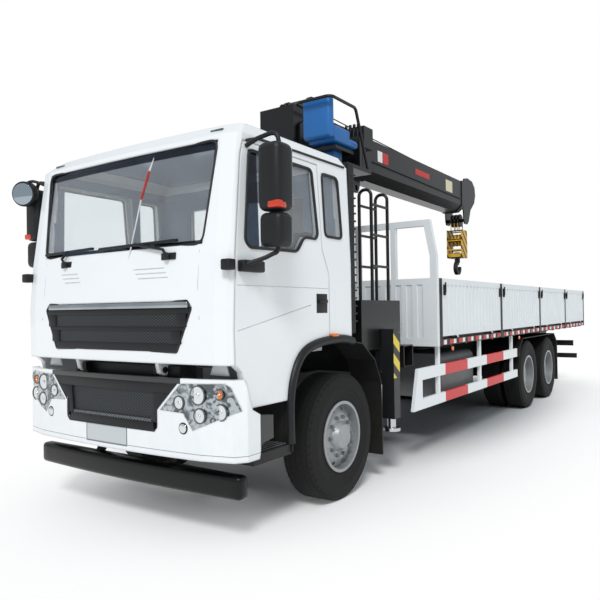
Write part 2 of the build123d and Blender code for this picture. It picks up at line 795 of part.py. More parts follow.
# Outriggers: a box beam with a leg on its end, and a jack with a foot inside the leg
beam_size = 2 * (tube_inner - beam_clearance)
leg_x = leg_outer_x - leg_width / 2
jack_top = leg_top - 60
for label, side, place in (("left", 1, left_beam_at), ("right", -1, right_beam_at)):
    middle_z = housing_bottom + housing_size / 2
    half = beam_size / 2
    with BuildPart() as beam:
        beam_x = (-side * 900, side * (leg_outer_x - leg_width + 1))
        block(beam_x, (place - half, place + half), (middle_z - half, middle_z + half))
        # slide pads at the inner end
        pad_half = tube_inner - seat_gap
        pad_z = (middle_z - pad_half, middle_z + pad_half)
        block((-side * 900, -side * 820), (place - 40, place + 40), pad_z)
        block(
            (side * (leg_outer_x - leg_width), side * leg_outer_x),
            (place - leg_width / 2, place + leg_width / 2),
            (leg_bottom, leg_top),
        )
        bore_half = leg_width / 2 - leg_wall
        block(
            (side * (leg_x - bore_half), side * (leg_x + bore_half)),
            (place - bore_half, place + bore_half),
            (leg_bottom, leg_top - leg_wall),
            Mode.SUBTRACT,
        )
        # guide ring for the jack at the leg's foot
        block(
            (side * (leg_x - bore_half - 1), side * (leg_x + bore_half + 1)),
            (place - bore_half - 1, place + bore_half + 1),
            (leg_bottom, leg_bottom + 60),
        )
        upright(side * leg_x, place, (leg_bottom, leg_bottom + 60), jack_radius + pin_fit, Mode.SUBTRACT)
    save(beam.part, f"outrigger_beam_{label}")
    with BuildPart() as jack:
        upright(side * leg_x, place, (foot_under + 20, jack_top), jack_radius)
        upright(side * leg_x, place, (foot_under, foot_under + 30), foot_radius)
    save(jack.part, f"outrigger_jack_{label}")

# Crane column: a box foot on the turntable, two cheeks for the boom and the operator's platform
cheek_inner = column_half_width - cheek_thickness
foot_pin_x = (-column_half_width, column_half_width)
column_foot = ring_top + seat_gap
box_outline = ((2520, 1500), (2970, 1500), (2950, 1900), (2900, 2010), (2520, 2010))
front_plate = (
    (2520, 2000),
    (2560, 2000),
    (2560, 2300),
    (2480, 2900),
    (2435, 3100),
    (2390, 3100),
    (2440, 2900),
    (2520, 2300),
)
cheek_outline = (
    (2520, 1500),
    (2970, 1500),
    (2950, 1900),
    (2900, 2300),
    (2790, 3000),
    (2600, 3500),
    (2480, 3580),
    (2340, 3590),
    (2270, 3540),
    (2270, 3400),
    (2420, 2900),
    (2500, 2300),
)
with BuildPart() as crane_column:
    upright(0, slew_at, (column_foot, column_foot + 45), turntable_radius + 20)
    for outline in (box_outline, front_plate):
        slab(outline, (-cheek_inner - 1, cheek_inner + 1))
    for side in (-1, 1):
        slab(cheek_outline, (side * cheek_inner, side * column_half_width))
    disc(foot_pin_x, boom_foot_at, boom_foot_height, pin_radius)
    disc(foot_pin_x, luff_foot_at, luff_foot_height, pin_radius)
    # the operator's platform with its foot rest, the lever stand and the tubular guard rail
    block((cheek_inner + 1, 740), (2380, 2900), (3060, 3100))
    block((460, 560), (2440, 2560), (3095, 3240))
    block((400, 660), (2300, 2660), (3235, 3270 - seat_gap))
    block((320, 640), (2830, 2890), (3095, 3480))
    guard_rail_line = (
        (300, 2860, 3090),
        (300, 2600, 3700),
        (300, 2110, 3700),
        (722, 2110, 3700),
        (722, 2600, 3700),
        (722, 2860, 3090),
    )
    bent_tube(guard_rail_line, 16, 60)
save(crane_column.part, "crane_column")

# Operator's seat: a moulded bucket that faces the boom's tip
with BuildPart() as operator_seat:
    seat_outline = (
        (2190, 3880),
        (2150, 3880),
        (2150, 3700),
        (2230, 3330),
        (2290, 3270),
        (2680, 3270),
        (2740, 3300),
        (2740, 3330),
        (2680, 3345),
        (2340, 3325),
        (2280, 3390),
        (2190, 3720),
    )
    slab(seat_outline, (336, 686))
save(operator_seat.part, "operator_seat")


def boom_section(inset):
    """The boom's six-sided section, set in from the outer skin."""
    with BuildSketch(Plane(origin=(0, 0, 0), x_dir=(1, 0, 0), z_dir=(0, -1, 0))) as section:
        Polygon(
            (-boom_half_width, boom_top),
            (boom_half_width, boom_top),
            (boom_half_width, boom_side_foot),
            (boom_bottom_half, boom_bottom),
            (-boom_bottom_half, boom_bottom),
            (-boom_half_width, boom_side_foot),
            align=None,
        )
        if inset:
            offset(amount=-inset, kind=Kind.INTERSECTION, mode=Mode.REPLACE)
    return section.sketch


def boom_tube(outer, inner, start, end):
    """A length of boom between two insets and two distances behind the bumper."""
    length = end - start
    extrude(boom_section(outer).moved(Location((0, station(end), 0))), amount=length)
    extrude(boom_section(inner).moved(Location((0, station(end), 0))), amount=length, mode=Mode.SUBTRACT)


section_step = boom_wall + boom_gap
section_2_start = 2560.0
section_3_start = 2700.0
section_2_end = boom_end_at + 100
section_3_end = section_2_end + 60
with BuildPart() as boom_base:
    boom_tube(0, boom_wall, boom_start_at, boom_end_at)
    boom_tube(-12, boom_wall, boom_end_at - collar_length, boom_end_at)
    extrude(boom_section(1).moved(Location((0, station(boom_start_at + 14), 0))), amount=14)
    for side in (-1, 1):
        boss_x = (side * (boom_half_width - 40), side * boom_half_width)
        disc(boss_x, boom_foot_at, boom_foot_height, 70)
    foot_x = (-boom_half_width, boom_half_width)
    disc(foot_x, boom_foot_at, boom_foot_height, pin_radius + pin_fit, Mode.SUBTRACT)
    # the collar that carries the luffing ears
    boom_tube(-25, boom_wall, 3640, 3860)
    for side in (-1, 1):
        ear_outline = ((3640, 3241), (3860, 3241), (3830, 3120), (3790, 3070), (3710, 3070), (3670, 3120))
        slab(ear_outline, (side * 50, side * 80))
        disc((side * 50, side * 80), luff_eye_at, luff_eye_height, pin_radius + 5, Mode.SUBTRACT)
    # wear pads under the next section
    pad_top = boom_bottom + section_step - seat_gap
    block((-80, 80), (boom_end_at - 60, boom_end_at - 5), (boom_bottom + boom_wall - 1, pad_top))
    # the junction box and the winch on top of the boom's foot
    block((boom_half_width - 1, 420), (3340, 3560), (3500, 3750))
    for side in (-1, 1):
        slab(((2420, 3739), (2860, 3739), (2800, 3900), (2680, 3940), (2540, 3900)), (side * 170, side * 190))
    disc((-171, 171), 2640, 3845, 65)
    for side in (-1, 1):
        disc((side * 130, side * 171), 2640, 3845, 95)
save(boom_base.part, "boom_base")

with BuildPart() as boom_section_2:
    boom_tube(section_step, section_step + boom_wall, section_2_start, section_2_end)
    boom_tube(6, section_step + boom_wall, boom_end_at + 10, section_2_end)
    pad_top = boom_bottom + 2 * section_step - seat_gap
    pad_bottom = boom_bottom + section_step + boom_wall - 1
    block((-70, 70), (section_2_end - 60, section_2_end - 5), (pad_bottom, pad_top))
save(boom_section_2.part, "boom_section_2")

head_half = 150.0
head_plate = 20.0
with BuildPart() as boom_section_3:
    boom_tube(2 * section_step, 2 * section_step + boom_wall, section_3_start, section_3_end)
    head_outline = (
        (7312, 3690),
        (7400, 3840),
        (7560, 3870),
        (7800, 3850),
        (7930, 3760),
        (7960, 3620),
        (7900, 3480),
        (7700, 3330),
        (7600, 3120),
        (7530, 3062),
        (7400, 3062),
        (7365, 3120),
        (7350, 3290),
        (7312, 3300),
    )
    for side in (-1, 1):
        slab(head_outline, (side * head_half, side * (head_half + head_plate)))
    block((-head_half - 1, head_half + 1), (7312, 7360), (3320, 3690))
    for distance, height in ((head_pin_at, head_pin_height), (7790, 3700)):
        disc((-head_half - head_plate, head_half + head_plate), distance, height, pin_radius)
        for n in (-1, 0, 1):
            disc((n * sheave_pitch - 14, n * sheave_pitch + 14), distance, height, sheave_radius)
save(boom_section_3.part, "boom_section_3")

# Luffing cylinder: a barrel pinned to the column and a rod that ends in an eye at the boom's ears
luff_run = luff_eye_at - luff_foot_at
luff_rise = luff_eye_height - luff_foot_height
luff_length = math.hypot(luff_run, luff_rise)


def on_cylinder(distance):
    """A point on the luffing cylinder's axis, a distance from its foot pin."""
    share = distance / luff_length
    return (0, luff_foot_at + luff_run * share, luff_foot_height + luff_rise * share)


gland = 60.0
piston_length = 40.0
piston_at = 100.0
bore_foot = 90.0
with BuildPart() as luff_barrel:
    disc((-60, 60), luff_foot_at, luff_foot_height, 70)
    round_bar(on_cylinder(40), on_cylinder(barrel_length), barrel_radius)
    disc((-60, 60), luff_foot_at, luff_foot_height, pin_radius + pin_fit, Mode.SUBTRACT)
    round_bar(on_cylinder(bore_foot), on_cylinder(barrel_length - gland), barrel_bore, Mode.SUBTRACT)
    round_bar(on_cylinder(bore_foot), on_cylinder(barrel_length + 1), rod_radius + pin_fit, Mode.SUBTRACT)
save(luff_barrel.part, "luff_barrel")

with BuildPart() as luff_rod:
    round_bar(on_cylinder(piston_at), on_cylinder(luff_length - 20), rod_radius)
    round_bar(on_cylinder(piston_at), on_cylinder(piston_at + piston_length), barrel_bore - pin_fit)
    disc((-44, 44), luff_eye_at, luff_eye_height, 58)
    disc((-44, 44), luff_eye_at, luff_eye_height, pin_radius + 5, Mode.SUBTRACT)
save(luff_rod.part, "luff_rod")

# Hook block: rope falls, two side plates with sheaves between them, and the crosshead for the hook
block_top = 2960.0
block_bottom = 2480.0
block_half = 135.0
block_plate = 18.0
shank_radius = 32.0
with BuildPart() as hook_block:
    plate_y = (head_pin_at - 133, head_pin_at + 133)
    for side in (-1, 1):
        plate_x = (side * block_half, side * (block_half - block_plate))
        block(plate_x, plate_y, (block_bottom, block_top))
    inner = block_half - block_plate + 1
    block((-inner, inner), (head_pin_at - 90, head_pin_at + 90), (block_bottom, block_bottom + 80))
    for height in (block_top - 25, block_top - 190, block_bottom + 130):
        for side in (-1, 1):
            bar_y = (head_pin_at + side * 110, head_pin_at + side * 133)
            block((-inner, inner), bar_y, (height, height + 20))
    disc((-inner, inner), head_pin_at, 2790, pin_radius)
    rope_reach = sheave_radius + rope_radius + seat_gap
    for n in (-1, 0, 1):
        disc((n * sheave_pitch - 14, n * sheave_pitch + 14), head_pin_at, 2790, sheave_radius - 8)
        for side in (-1, 1):
            place = head_pin_at + side * rope_reach
            low = block_top - 15
            round_bar((n * sheave_pitch, place, low), (n * sheave_pitch, place, head_pin_height), rope_radius)
    upright(0, head_pin_at, (block_bottom, block_bottom + 80), shank_radius + pin_fit, Mode.SUBTRACT)
save(hook_block.part, "hook_block")

# Hook: a shank that turns in the crosshead, and a forged bowl below it
with BuildPart() as hook:
    upright(0, head_pin_at, (2430, block_bottom + 85), shank_radius)
    upright(0, head_pin_at, (block_bottom + 80 + seat_gap, block_bottom + 100), shank_radius + 22)
    upright(0, head_pin_at, (2400, block_bottom - gap), shank_radius + 14)
    with BuildSketch(side_plane(-30)) as bowl:
        with Locations((head_pin_at, 2310)):
            Circle(118)
            Circle(58, mode=Mode.SUBTRACT)
        with Locations((head_pin_at + 75, 2390)):
            Rectangle(120, 110, mode=Mode.SUBTRACT)
    extrude(bowl.sketch, amount=60)
save(hook.part, "hook")


# Cab: rounded body built through level outlines, each (height, nose, half width, rear face)
roof_top = 3000.0


def cab_levels(inset, bottom):
    """The cab's level outlines, set in from the outer skin."""
    levels = (
        (bottom, 30, cab_half_width, cab_rear_at),
        (1640, 25, cab_half_width, cab_rear_at),
        (2010, 55, cab_half_width, cab_rear_at),
        (2850, 170, cab_half_width - 25, cab_rear_at - 10),
        (2945, 280, cab_half_width - 90, cab_rear_at - 40),
        (roof_top, 440, cab_half_width - 200, cab_rear_at - 110),
    )
    return [
        (height - (inset if height > 2800 else 0), nose + inset, half - inset, rear - inset)
        for height, nose, half, rear in levels
    ]


def cab_mass(inset, bottom=cab_floor_under, mode=Mode.ADD):
    """The cab's whole rounded body, set in from its outer skin."""
    outlines = []
    for height, nose, half, rear in cab_levels(inset, bottom):
        front = station(nose)
        corner = half - 130
        with BuildSketch(Plane.XY.offset(height)) as outline:
            with BuildLine():
                bow = ThreePointArc((-corner, front + 35), (0, front), (corner, front + 35))
                Polyline(
                    bow @ 1,
                    (half - 25, front + 60),
                    (half, front + 95),
                    (half, station(rear)),
                    (-half, station(rear)),
                    (-half, front + 95),
                    (-half + 25, front + 60),
                    bow @ 0,
                )
            make_face()
        outlines.append(outline.sketch.face())
    loft(outlines, ruled=True, mode=mode)


door_outline = (
    (200, 1200),
    (135, 1250),
    (130, 1500),
    (152, 2000),
    (245, 2700),
    (270, 2790),
    (1205, 2790),
    (1240, 2100),
    (1335, 1900),
    (1335, 1395),
    (1150, 1372),
    (920, 1300),
    (790, 1150),
    (735, 960),
    (715, door_low),
    (270, door_low),
)
door_window = (
    (325, 2740),
    (1120, 2740),
    (1180, 2225),
    (1150, 2185),
    (980, 2185),
    (880, 2065),
    (300, 2055),
    (250, 2100),
)
quarter_window = ((1270, 2735), (1520, 2735), (1560, 2220), (1290, 2220))
screen_outline = ((-900, 2080), (900, 2080), (965, 2810), (-965, 2810))
rear_window = ((-700, 2150), (700, 2150), (700, 2650), (-700, 2650))
grille_outline = ((-790, 1690), (790, 1690), (830, 1640), (690, 1335), (-690, 1335), (-830, 1640))


def grown(points, amount):
    """The corners of an outline moved outwards by an amount, or inwards if it is negative."""
    with BuildSketch() as sketch:
        Polygon(*points, align=None)
        offset(amount=amount, kind=Kind.INTERSECTION, mode=Mode.REPLACE)
    return sketch.sketch


def side_prism(points, amount, x, mode):
    """A grown or shrunk side outline carried between two X values."""
    sketch = grown(points, amount)
    extrude(side_plane(min(x)) * sketch, amount=max(x) - min(x), mode=mode)


def front_prism(points, amount, y, mode):
    """A grown or shrunk front outline carried between two distances behind the bumper."""
    sketch = grown(points, amount)
    plane = Plane(origin=(0, station(min(y)), 0), x_dir=(1, 0, 0), z_dir=(0, -1, 0))
    extrude(plane * sketch, amount=-(max(y) - min(y)), mode=mode)


rebate_x = cab_half_width - door_thickness - seat_gap
side_wall_x = cab_half_width - 140
past_side_x = cab_half_width + 40
screen_at = (-60.0, 420.0)
rear_wall_at = (cab_rear_at - 200, cab_rear_at + 40)
grille_inset = 8.0
grille_depth = 48.0
with BuildPart() as cab_cavity:
    cab_mass(cab_wall, cab_floor_top)

with BuildPart() as grille_recess:
    front_prism(grille_outline, 0, screen_at, Mode.ADD)
    cab_mass(grille_depth + seat_gap, cab_floor_under - 20, Mode.SUBTRACT)

arch_hollow = ((776, 1200), (786, 1290), (905, 1385), (1520, 1400), (1760, 1375), (1760, 1200))
with BuildPart() as cab_shell:
    cab_mass(0)
    add(cab_cavity.part, mode=Mode.SUBTRACT)
    for side in (-1, 1):
        side_prism(door_outline, gap, (side * rebate_x, side * past_side_x), Mode.SUBTRACT)
        side_prism(door_outline, -25, (side * (cab_half_width - 120), side * cab_half_width), Mode.SUBTRACT)
        side_prism(quarter_window, 0, (side * side_wall_x, side * past_side_x), Mode.SUBTRACT)
        # the wheelhouse stands inside the cab and is hollowed out over the wheel
        block((side * 800, side * rebate_x), (740, cab_rear_at - 1), (cab_floor_under, 1440))
        slab(arch_hollow, (side * 840, side * past_side_x), Mode.SUBTRACT)
        ear_x = (side * (rail_outer_x + 10), side * (rail_outer_x + 50))
        slab(((70, 1251), (90, 1170), (120, 1155), (150, 1155), (180, 1180), (260, 1251)), ear_x)
        disc(ear_x, tilt_pivot_at, tilt_pivot_height, tilt_pin_radius + pin_fit, Mode.SUBTRACT)
    front_prism(screen_outline, 0, screen_at, Mode.SUBTRACT)
    front_prism(rear_window, 0, rear_wall_at, Mode.SUBTRACT)
    add(grille_recess.part, mode=Mode.SUBTRACT)
save(cab_shell.part, "cab_shell")

# Cab glass: the windscreen, rear window and quarter windows as one layer of the cab's own form
with BuildPart() as glass_layer:
    cab_mass(glass_inset)
    cab_mass(glass_inset + glass_thickness, cab_floor_under - 20, Mode.SUBTRACT)

with BuildPart() as glass_openings:
    front_prism(screen_outline, -seat_gap, screen_at, Mode.ADD)
    front_prism(rear_window, -seat_gap, rear_wall_at, Mode.ADD)
    for side in (-1, 1):
        side_prism(quarter_window, -seat_gap, (side * side_wall_x, side * past_side_x), Mode.ADD)

with BuildPart() as cab_glass:
    add(glass_layer.part)
    add(glass_openings.part, mode=Mode.INTERSECT)
save(cab_glass.part, "cab_glass")

# Grille panel: a dark back plate with slots in the opening above the bumper
with BuildPart() as grille_panel:
    cab_mass(grille_inset)
    cab_mass(grille_depth, cab_floor_under - 20, Mode.SUBTRACT)
    front_prism(grille_outline, -seat_gap, screen_at, Mode.INTERSECT)
    for height in (1385, 1447, 1509, 1571, 1633):
        reach = 630 + (height - 1335) * 0.42
        block((-reach, reach), (-60, grille_depth + 10), (height - 20, height + 20), Mode.SUBTRACT)
save(grille_panel.part, "grille_panel")

# Dashboard with the steering wheel
wheel_slope = math.radians(35)
with BuildPart() as dashboard:
    dash = ((60, 1540), (60, 2000), (250, 2010), (480, 1980), (640, 1880), (640, 1760), (480, 1560))
    slab(dash, (-1100, 1100))
    cab_mass(cab_wall + seat_gap, cab_floor_top, Mode.INTERSECT)
    block((-900, 900), (300, 350), (cab_floor_top, 1600))
    wheel_plane = Plane(
        origin=(560, station(830), 1990),
        x_dir=(1, 0, 0),
        z_dir=(0, math.sin(wheel_slope), math.cos(wheel_slope)),
    )
    with Locations(wheel_plane):
        Torus(215, 17)
        Box(420, 40, 16)
        Cylinder(28, 330, align=(Align.CENTER, Align.CENTER, Align.MAX))
save(dashboard.part, "dashboard")

# Cab seats: a cushion and a back on a pedestal, one on each side
with BuildPart() as cab_seats:
    for side in (-1, 1):
        cushion_and_back = (
            (1000, 1560),
            (1420, 1560),
            (1500, 2300),
            (1590, 2300),
            (1560, 1540),
            (1500, 1460),
            (1010, 1440),
        )
        slab(cushion_and_back, (side * 320, side * 820))
        block((side * 400, side * 740), (1100, 1450), (cab_floor_top, 1470))
save(cab_seats.part, "cab_seats")

# Doors: the skin between the door gap and the inner face, with the window cut, and its glass
mirror_arm_radius = 16.0
with BuildPart() as cab_to_sill:
    cab_mass(0, door_low)

for label, side in (("left", 1), ("right", -1)):
    reach = (side * (cab_half_width - door_thickness), side * past_side_x)
    with BuildPart() as door:
        side_prism(door_outline, 0, reach, Mode.ADD)
        add(cab_to_sill.part, mode=Mode.INTERSECT)
        side_prism(door_window, 0, reach, Mode.SUBTRACT)
    save(door.part, f"door_{label}")
    with BuildPart() as door_glass:
        side_prism(door_window, -seat_gap, reach, Mode.ADD)
        add(glass_layer.part, mode=Mode.INTERSECT)
    save(door_glass.part, f"door_glass_{label}")
    # mirrors: a tall housing and a wide-angle one on a bent arm from the door's front edge
    with BuildPart() as mirror:
        arm_x = side * 1380
        block((side * 1290, side * 1450), (250, 420), (2290, 2740))
        block((side * 1290, side * 1450), (260, 410), (2060, 2270))
        round_bar((arm_x, 330, 2050), (arm_x, 330, 2800), mirror_arm_radius)
        round_bar((arm_x, 330, 2790), (side * 1130.5, 300, 2760), mirror_arm_radius)
        round_bar((arm_x, 330, 2060), (side * 1200, 200, 1930), mirror_arm_radius)
        block((side * (cab_half_width + seat_gap), side * 1210), (160, 400), (1880, 1960))
    save(mirror.part, f"mirror_{label}")
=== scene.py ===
import math
import bpy
from mathutils import Matrix, Vector


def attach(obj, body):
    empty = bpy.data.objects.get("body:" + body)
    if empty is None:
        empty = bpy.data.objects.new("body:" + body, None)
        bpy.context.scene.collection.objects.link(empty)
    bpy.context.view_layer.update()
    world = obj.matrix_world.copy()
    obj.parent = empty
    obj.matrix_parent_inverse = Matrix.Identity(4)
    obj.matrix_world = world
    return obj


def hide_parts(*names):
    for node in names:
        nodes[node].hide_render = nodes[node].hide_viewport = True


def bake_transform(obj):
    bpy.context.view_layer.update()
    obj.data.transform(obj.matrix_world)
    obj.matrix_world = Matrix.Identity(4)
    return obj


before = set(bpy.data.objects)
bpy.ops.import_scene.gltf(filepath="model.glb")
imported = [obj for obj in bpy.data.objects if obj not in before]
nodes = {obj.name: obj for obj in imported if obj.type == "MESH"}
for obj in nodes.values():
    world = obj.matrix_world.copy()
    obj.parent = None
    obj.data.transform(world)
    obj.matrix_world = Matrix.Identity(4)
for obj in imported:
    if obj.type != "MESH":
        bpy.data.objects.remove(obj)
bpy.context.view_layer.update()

# Camera, floor and light.
# The camera stands low off the lorry's front left corner. The floor and the backdrop are plain white, apart
# from a grey shadow painted on the floor under the lorry, and one soft lamp from ahead adds to an even sky.


def put(tree, kind, settings=None, inputs=None, links=None):
    """Adds one node to a tree with its settings, its input values and its links."""
    node = tree.nodes.new(kind)
    for key, value in (settings or {}).items():
        setattr(node, key, value)
    for key, value in (inputs or {}).items():
        node.inputs[key].default_value = value
    for key, socket in (links or {}).items():
        tree.links.new(socket, node.inputs[key])
    return node


def finish(name):
    """A new material with its node tree, its shader and the object's own coordinates."""
    material = bpy.data.materials.new(name)
    material.use_nodes = True
    tree = material.node_tree
    return material, tree, tree.nodes["Principled BSDF"], put(tree, "ShaderNodeTexCoord").outputs["Object"]


def vector(tree, operation, first, second=None):
    """Adds a vector maths node on an output and an optional fixed vector."""
    fixed = {1: second} if second else None
    return put(tree, "ShaderNodeVectorMath", {"operation": operation}, fixed, {0: first})


def linear(colour):
    """A hex colour as linear red, green, blue and full alpha."""
    channels = [int(colour[i:i + 2], 16) / 255 for i in (1, 3, 5)]
    return [c / 12.92 if c <= 0.04045 else ((c + 0.055) / 1.055) ** 2.4 for c in channels] + [1.0]


def mingled(tree, factor, first, second):
    """Mixes two colours, each a hex colour or another node's output."""
    node = put(tree, "ShaderNodeMix", {"data_type": "RGBA"}, links={"Factor": factor})
    for key, colour in (("A", first), ("B", second)):
        if isinstance(colour, str):
            node.inputs[key].default_value = linear(colour)
        else:
            tree.links.new(colour, node.inputs[key])
    return node.outputs["Result"]


scene = bpy.context.scene
scene.view_settings.view_transform = "Standard"

azimuth, pitch, roll = (math.radians(a) for a in (34.567, 0.516, -0.826))
ahead = Vector((-math.sin(azimuth) * math.cos(pitch), math.cos(azimuth) * math.cos(pitch), math.sin(pitch)))
level = Vector((math.cos(azimuth), math.sin(azimuth), 0))
upward = level.cross(ahead)
right = level * math.cos(roll) + upward * math.sin(roll)
top = -level * math.sin(roll) + upward * math.cos(roll)
camera_data = bpy.data.cameras.new("camera")
camera_data.sensor_width = 36
camera_data.lens = 37.42
camera_data.shift_x = 0.0043
camera_data.shift_y = 0.0079
camera_data.clip_end = 200
camera = bpy.data.objects.new("camera", camera_data)
turned = Matrix((right, top, -ahead)).transposed().to_4x4()
camera.matrix_world = Matrix.Translation((3.856, -9.043, 1.614)) @ turned
scene.collection.objects.link(camera)
scene.camera = camera

world = bpy.data.worlds.new("studio")
world.use_nodes = True
scene.world = world
sky = world.node_tree
sky.nodes.clear()
path = put(sky, "ShaderNodeLightPath")
seen = put(
    sky, "ShaderNodeMath",
    {"operation": "MAXIMUM"},
    links={0: path.outputs["Is Camera Ray"], 1: path.outputs["Is Transmission Ray"]},
)
dim = put(sky, "ShaderNodeBackground", inputs={"Color": (0.93, 0.97, 1.0, 1), "Strength": 0.62})
white = put(sky, "ShaderNodeBackground", inputs={"Color": (1, 1, 1, 1), "Strength": 1.0})
either = put(sky, "ShaderNodeMixShader", links={0: seen.outputs[0], 1: dim.outputs[0], 2: white.outputs[0]})
put(sky, "ShaderNodeOutputWorld", links={"Surface": either.outputs[0]})

lamp_data = bpy.data.lights.new("front_light", "SUN")
lamp_data.energy = 1.9
lamp_data.angle = math.radians(14)
lamp = bpy.data.objects.new("front_light", lamp_data)
lamp.rotation_euler = Vector((-0.42, 0.72, -0.85)).to_track_quat("-Z", "Y").to_euler()
scene.collection.objects.link(lamp)

bpy.ops.object.select_all(action="DESELECT")
bpy.ops.mesh.primitive_plane_add(size=120, location=(0, 0, -0.001))
floor = bpy.context.object
floor.name = "floor"
# Matt studio paper: a grey shadow is painted on it under the lorry, and it turns plain white a little way
# from the wheels
floor_finish, ground, shader, spot = finish("white_floor_with_painted_shadow")
shader.inputs["Roughness"].default_value = 0.9
sized = vector(ground, "DIVIDE", spot, (3.4, 8.2, 1.0))
reach = vector(ground, "LENGTH", sized.outputs[0]).outputs["Value"]
fades = []
for near, far in ((0.2, 0.62), (0.55, 1.0)):
    ends = {"From Min": near, "From Max": far}
    fade = put(ground, "ShaderNodeMapRange", {"interpolation_type": "SMOOTHSTEP"}, ends, {"Value": reach})
    fades.append(fade.outputs[0])
# painted shadow: the floor's colour is grey under the lorry and fades to white further out
ground.links.new(mingled(ground, fades[0], "#858a8e", "#fdfdfd"), shader.inputs["Base Color"])
paper = put(ground, "ShaderNodeEmission", inputs={"Color": (1, 1, 1, 1), "Strength": 1.0})
mixed = put(ground, "ShaderNodeMixShader", links={0: fades[1], 1: shader.outputs[0], 2: paper.outputs[0]})
ground.links.new(mixed.outputs[0], ground.nodes["Material Output"].inputs["Surface"])
floor.data.materials.append(floor_finish)

# Chassis, axles and springs.
# Rolled steel rails and cast axles, all sprayed satin black after assembly, with road dust low down.


def calc(tree, operation, *values, clamp=False):
    """Adds a maths node, whose inputs are numbers or other nodes' outputs, and gives its output."""
    numbers = {k: value for k, value in enumerate(values) if isinstance(value, (int, float))}
    sockets = {k: value for k, value in enumerate(values) if k not in numbers}
    settings = {"operation": operation, "use_clamp": clamp}
    return put(tree, "ShaderNodeMath", settings, numbers, sockets).outputs[0]


def split(tree, socket):
    """The X, Y and Z of a vector as three outputs."""
    return put(tree, "ShaderNodeSeparateXYZ", links={0: socket}).outputs


def coat(
    name, colour, second, rough, metal=0.0, clear=0.0, grain=60.0, bump=0.0, dirt=0.0,
    dirt_colour="#5b564e", soft=3.0, sheen=0.5,
):
    """A finish with slight colour drift, its own surface grain, and road dirt that thins out with height."""
    material, tree, shader, where = finish(name)
    drift = put(tree, "ShaderNodeTexNoise", inputs={"Scale": 2.3, "Detail": 3.0}, links={"Vector": where})
    last = mingled(tree, drift.outputs["Fac"], colour, second)
    fine = put(tree, "ShaderNodeTexNoise", inputs={"Scale": grain, "Detail": 4.0}, links={"Vector": where})
    if dirt:
        low = put(
            tree, "ShaderNodeMapRange",
            inputs={"From Min": 0.25, "From Max": 1.5, "To Min": 1.0, "To Max": 0.0},
            links={"Value": split(tree, where)["Z"]},
        )
        spots = put(
            tree, "ShaderNodeTexNoise", inputs={"Scale": 14.0, "Detail": 6.0, "Roughness": 0.65},
            links={"Vector": where},
        )
        both = calc(tree, "MULTIPLY", low.outputs[0], spots.outputs["Fac"])
        last = mingled(tree, calc(tree, "MULTIPLY", both, dirt * 2, clamp=True), last, dirt_colour)
    tree.links.new(last, shader.inputs["Base Color"])
    spread = put(
        tree, "ShaderNodeMapRange", inputs={"To Min": rough * 0.85, "To Max": min(1.0, rough * 1.2)},
        links={"Value": fine.outputs["Fac"]},
    )
    tree.links.new(spread.outputs[0], shader.inputs["Roughness"])
    for key, value in (
        ("Metallic", metal),
        ("Specular IOR Level", sheen),
        ("Coat Weight", clear),
        ("Coat Roughness", 0.06),
    ):
        shader.inputs[key].default_value = value
    # pressed and cast edges are never sharp
    edge = put(tree, "ShaderNodeBevel", {"samples": 4}, {"Radius": soft / 1000})
    raised = put(
        tree, "ShaderNodeBump", inputs={"Strength": bump, "Distance": 0.002},
        links={"Height": fine.outputs["Fac"], "Normal": edge.outputs[0]},
    )
    tree.links.new(raised.outputs[0], shader.inputs["Normal"])
    return material


def repaint(names, material):
    """Gives CAD nodes a material in place of their plain one."""
    for name in names:
        for entry in nodes[name].material_slots:
            entry.material = material


# Satin black chassis paint: a deep black that greys near the road
chassis_black = coat(
    "satin_black_chassis_paint", "#0c0d0e", "#141617", 0.45, bump=0.15, grain=90, dirt=0.12, sheen=0.3,
)
repaint(
    ("chassis_frame", "axles", "knuckle_left", "knuckle_right", "load_bed", "mudguards", "air_intake"),
    chassis_black,
)
# Cast aluminium and grey paint: dull mid grey with a coarse grain
cast_grey = coat(
    "cast_aluminium_and_grey_paint", "#7f8385", "#6c7072", 0.55, metal=0.3, bump=0.2, grain=70, dirt=0.4,
)
repaint(("engine", "fuel_tank"), cast_grey)

# Cab paint.
# Pressed steel panels in a white two-pack enamel: clean and glossy, a little blue in its shade.
# Gloss white cab enamel: bright and cool, with soft pressed edges
cab_white = coat(
    "gloss_white_cab_enamel", "#e9edef", "#e2e7ea", 0.3, clear=0.6, grain=300, dirt=0.1, soft=22,
)
repaint(("front_bumper", "door_left", "door_right"), cab_white)
# Satin white bed paint: a little greyer and duller than the cab
bed_white = coat(
    "satin_white_bed_paint", "#dfe4e6", "#d3d9dc", 0.42, clear=0.2, grain=140, bump=0.08, dirt=0.25,
)
repaint(
    ["headboard", "tailgate"] + [f"dropside_{side}_{n}" for side in ("left", "right") for n in range(1, 5)],
    bed_white,
)

# Cab and door glass.
# Laminated and tempered glass with a faint blue-grey tint, clear enough to see the seats through.
# Tinted safety glass: nearly clear, with a cool cast and sharp reflections
tinted, _tree, glass, _where = finish("tinted_safety_glass")
glass.inputs["Base Color"].default_value = linear("#f5f9fb")
for key, value in (("Roughness", 0.03), ("Transmission Weight", 0.92), ("IOR", 1.3)):
    glass.inputs[key].default_value = value
repaint(("cab_glass", "door_glass_left", "door_glass_right"), tinted)

# Cab inside.
# Moulded grey plastic for the dashboard and woven dark cloth on the two seats.
# Moulded grey plastic: matt, with a fine grain
moulded_grey = coat("moulded_grey_dashboard", "#6b7478", "#5f686c", 0.6, grain=500, bump=0.25)
repaint(("dashboard",), moulded_grey)
# Woven dark cloth: flat, with no shine
seat_cloth = coat("woven_dark_seat_cloth", "#3b4145", "#31363a", 0.9, grain=700, bump=0.4)
repaint(("cab_seats",), seat_cloth)

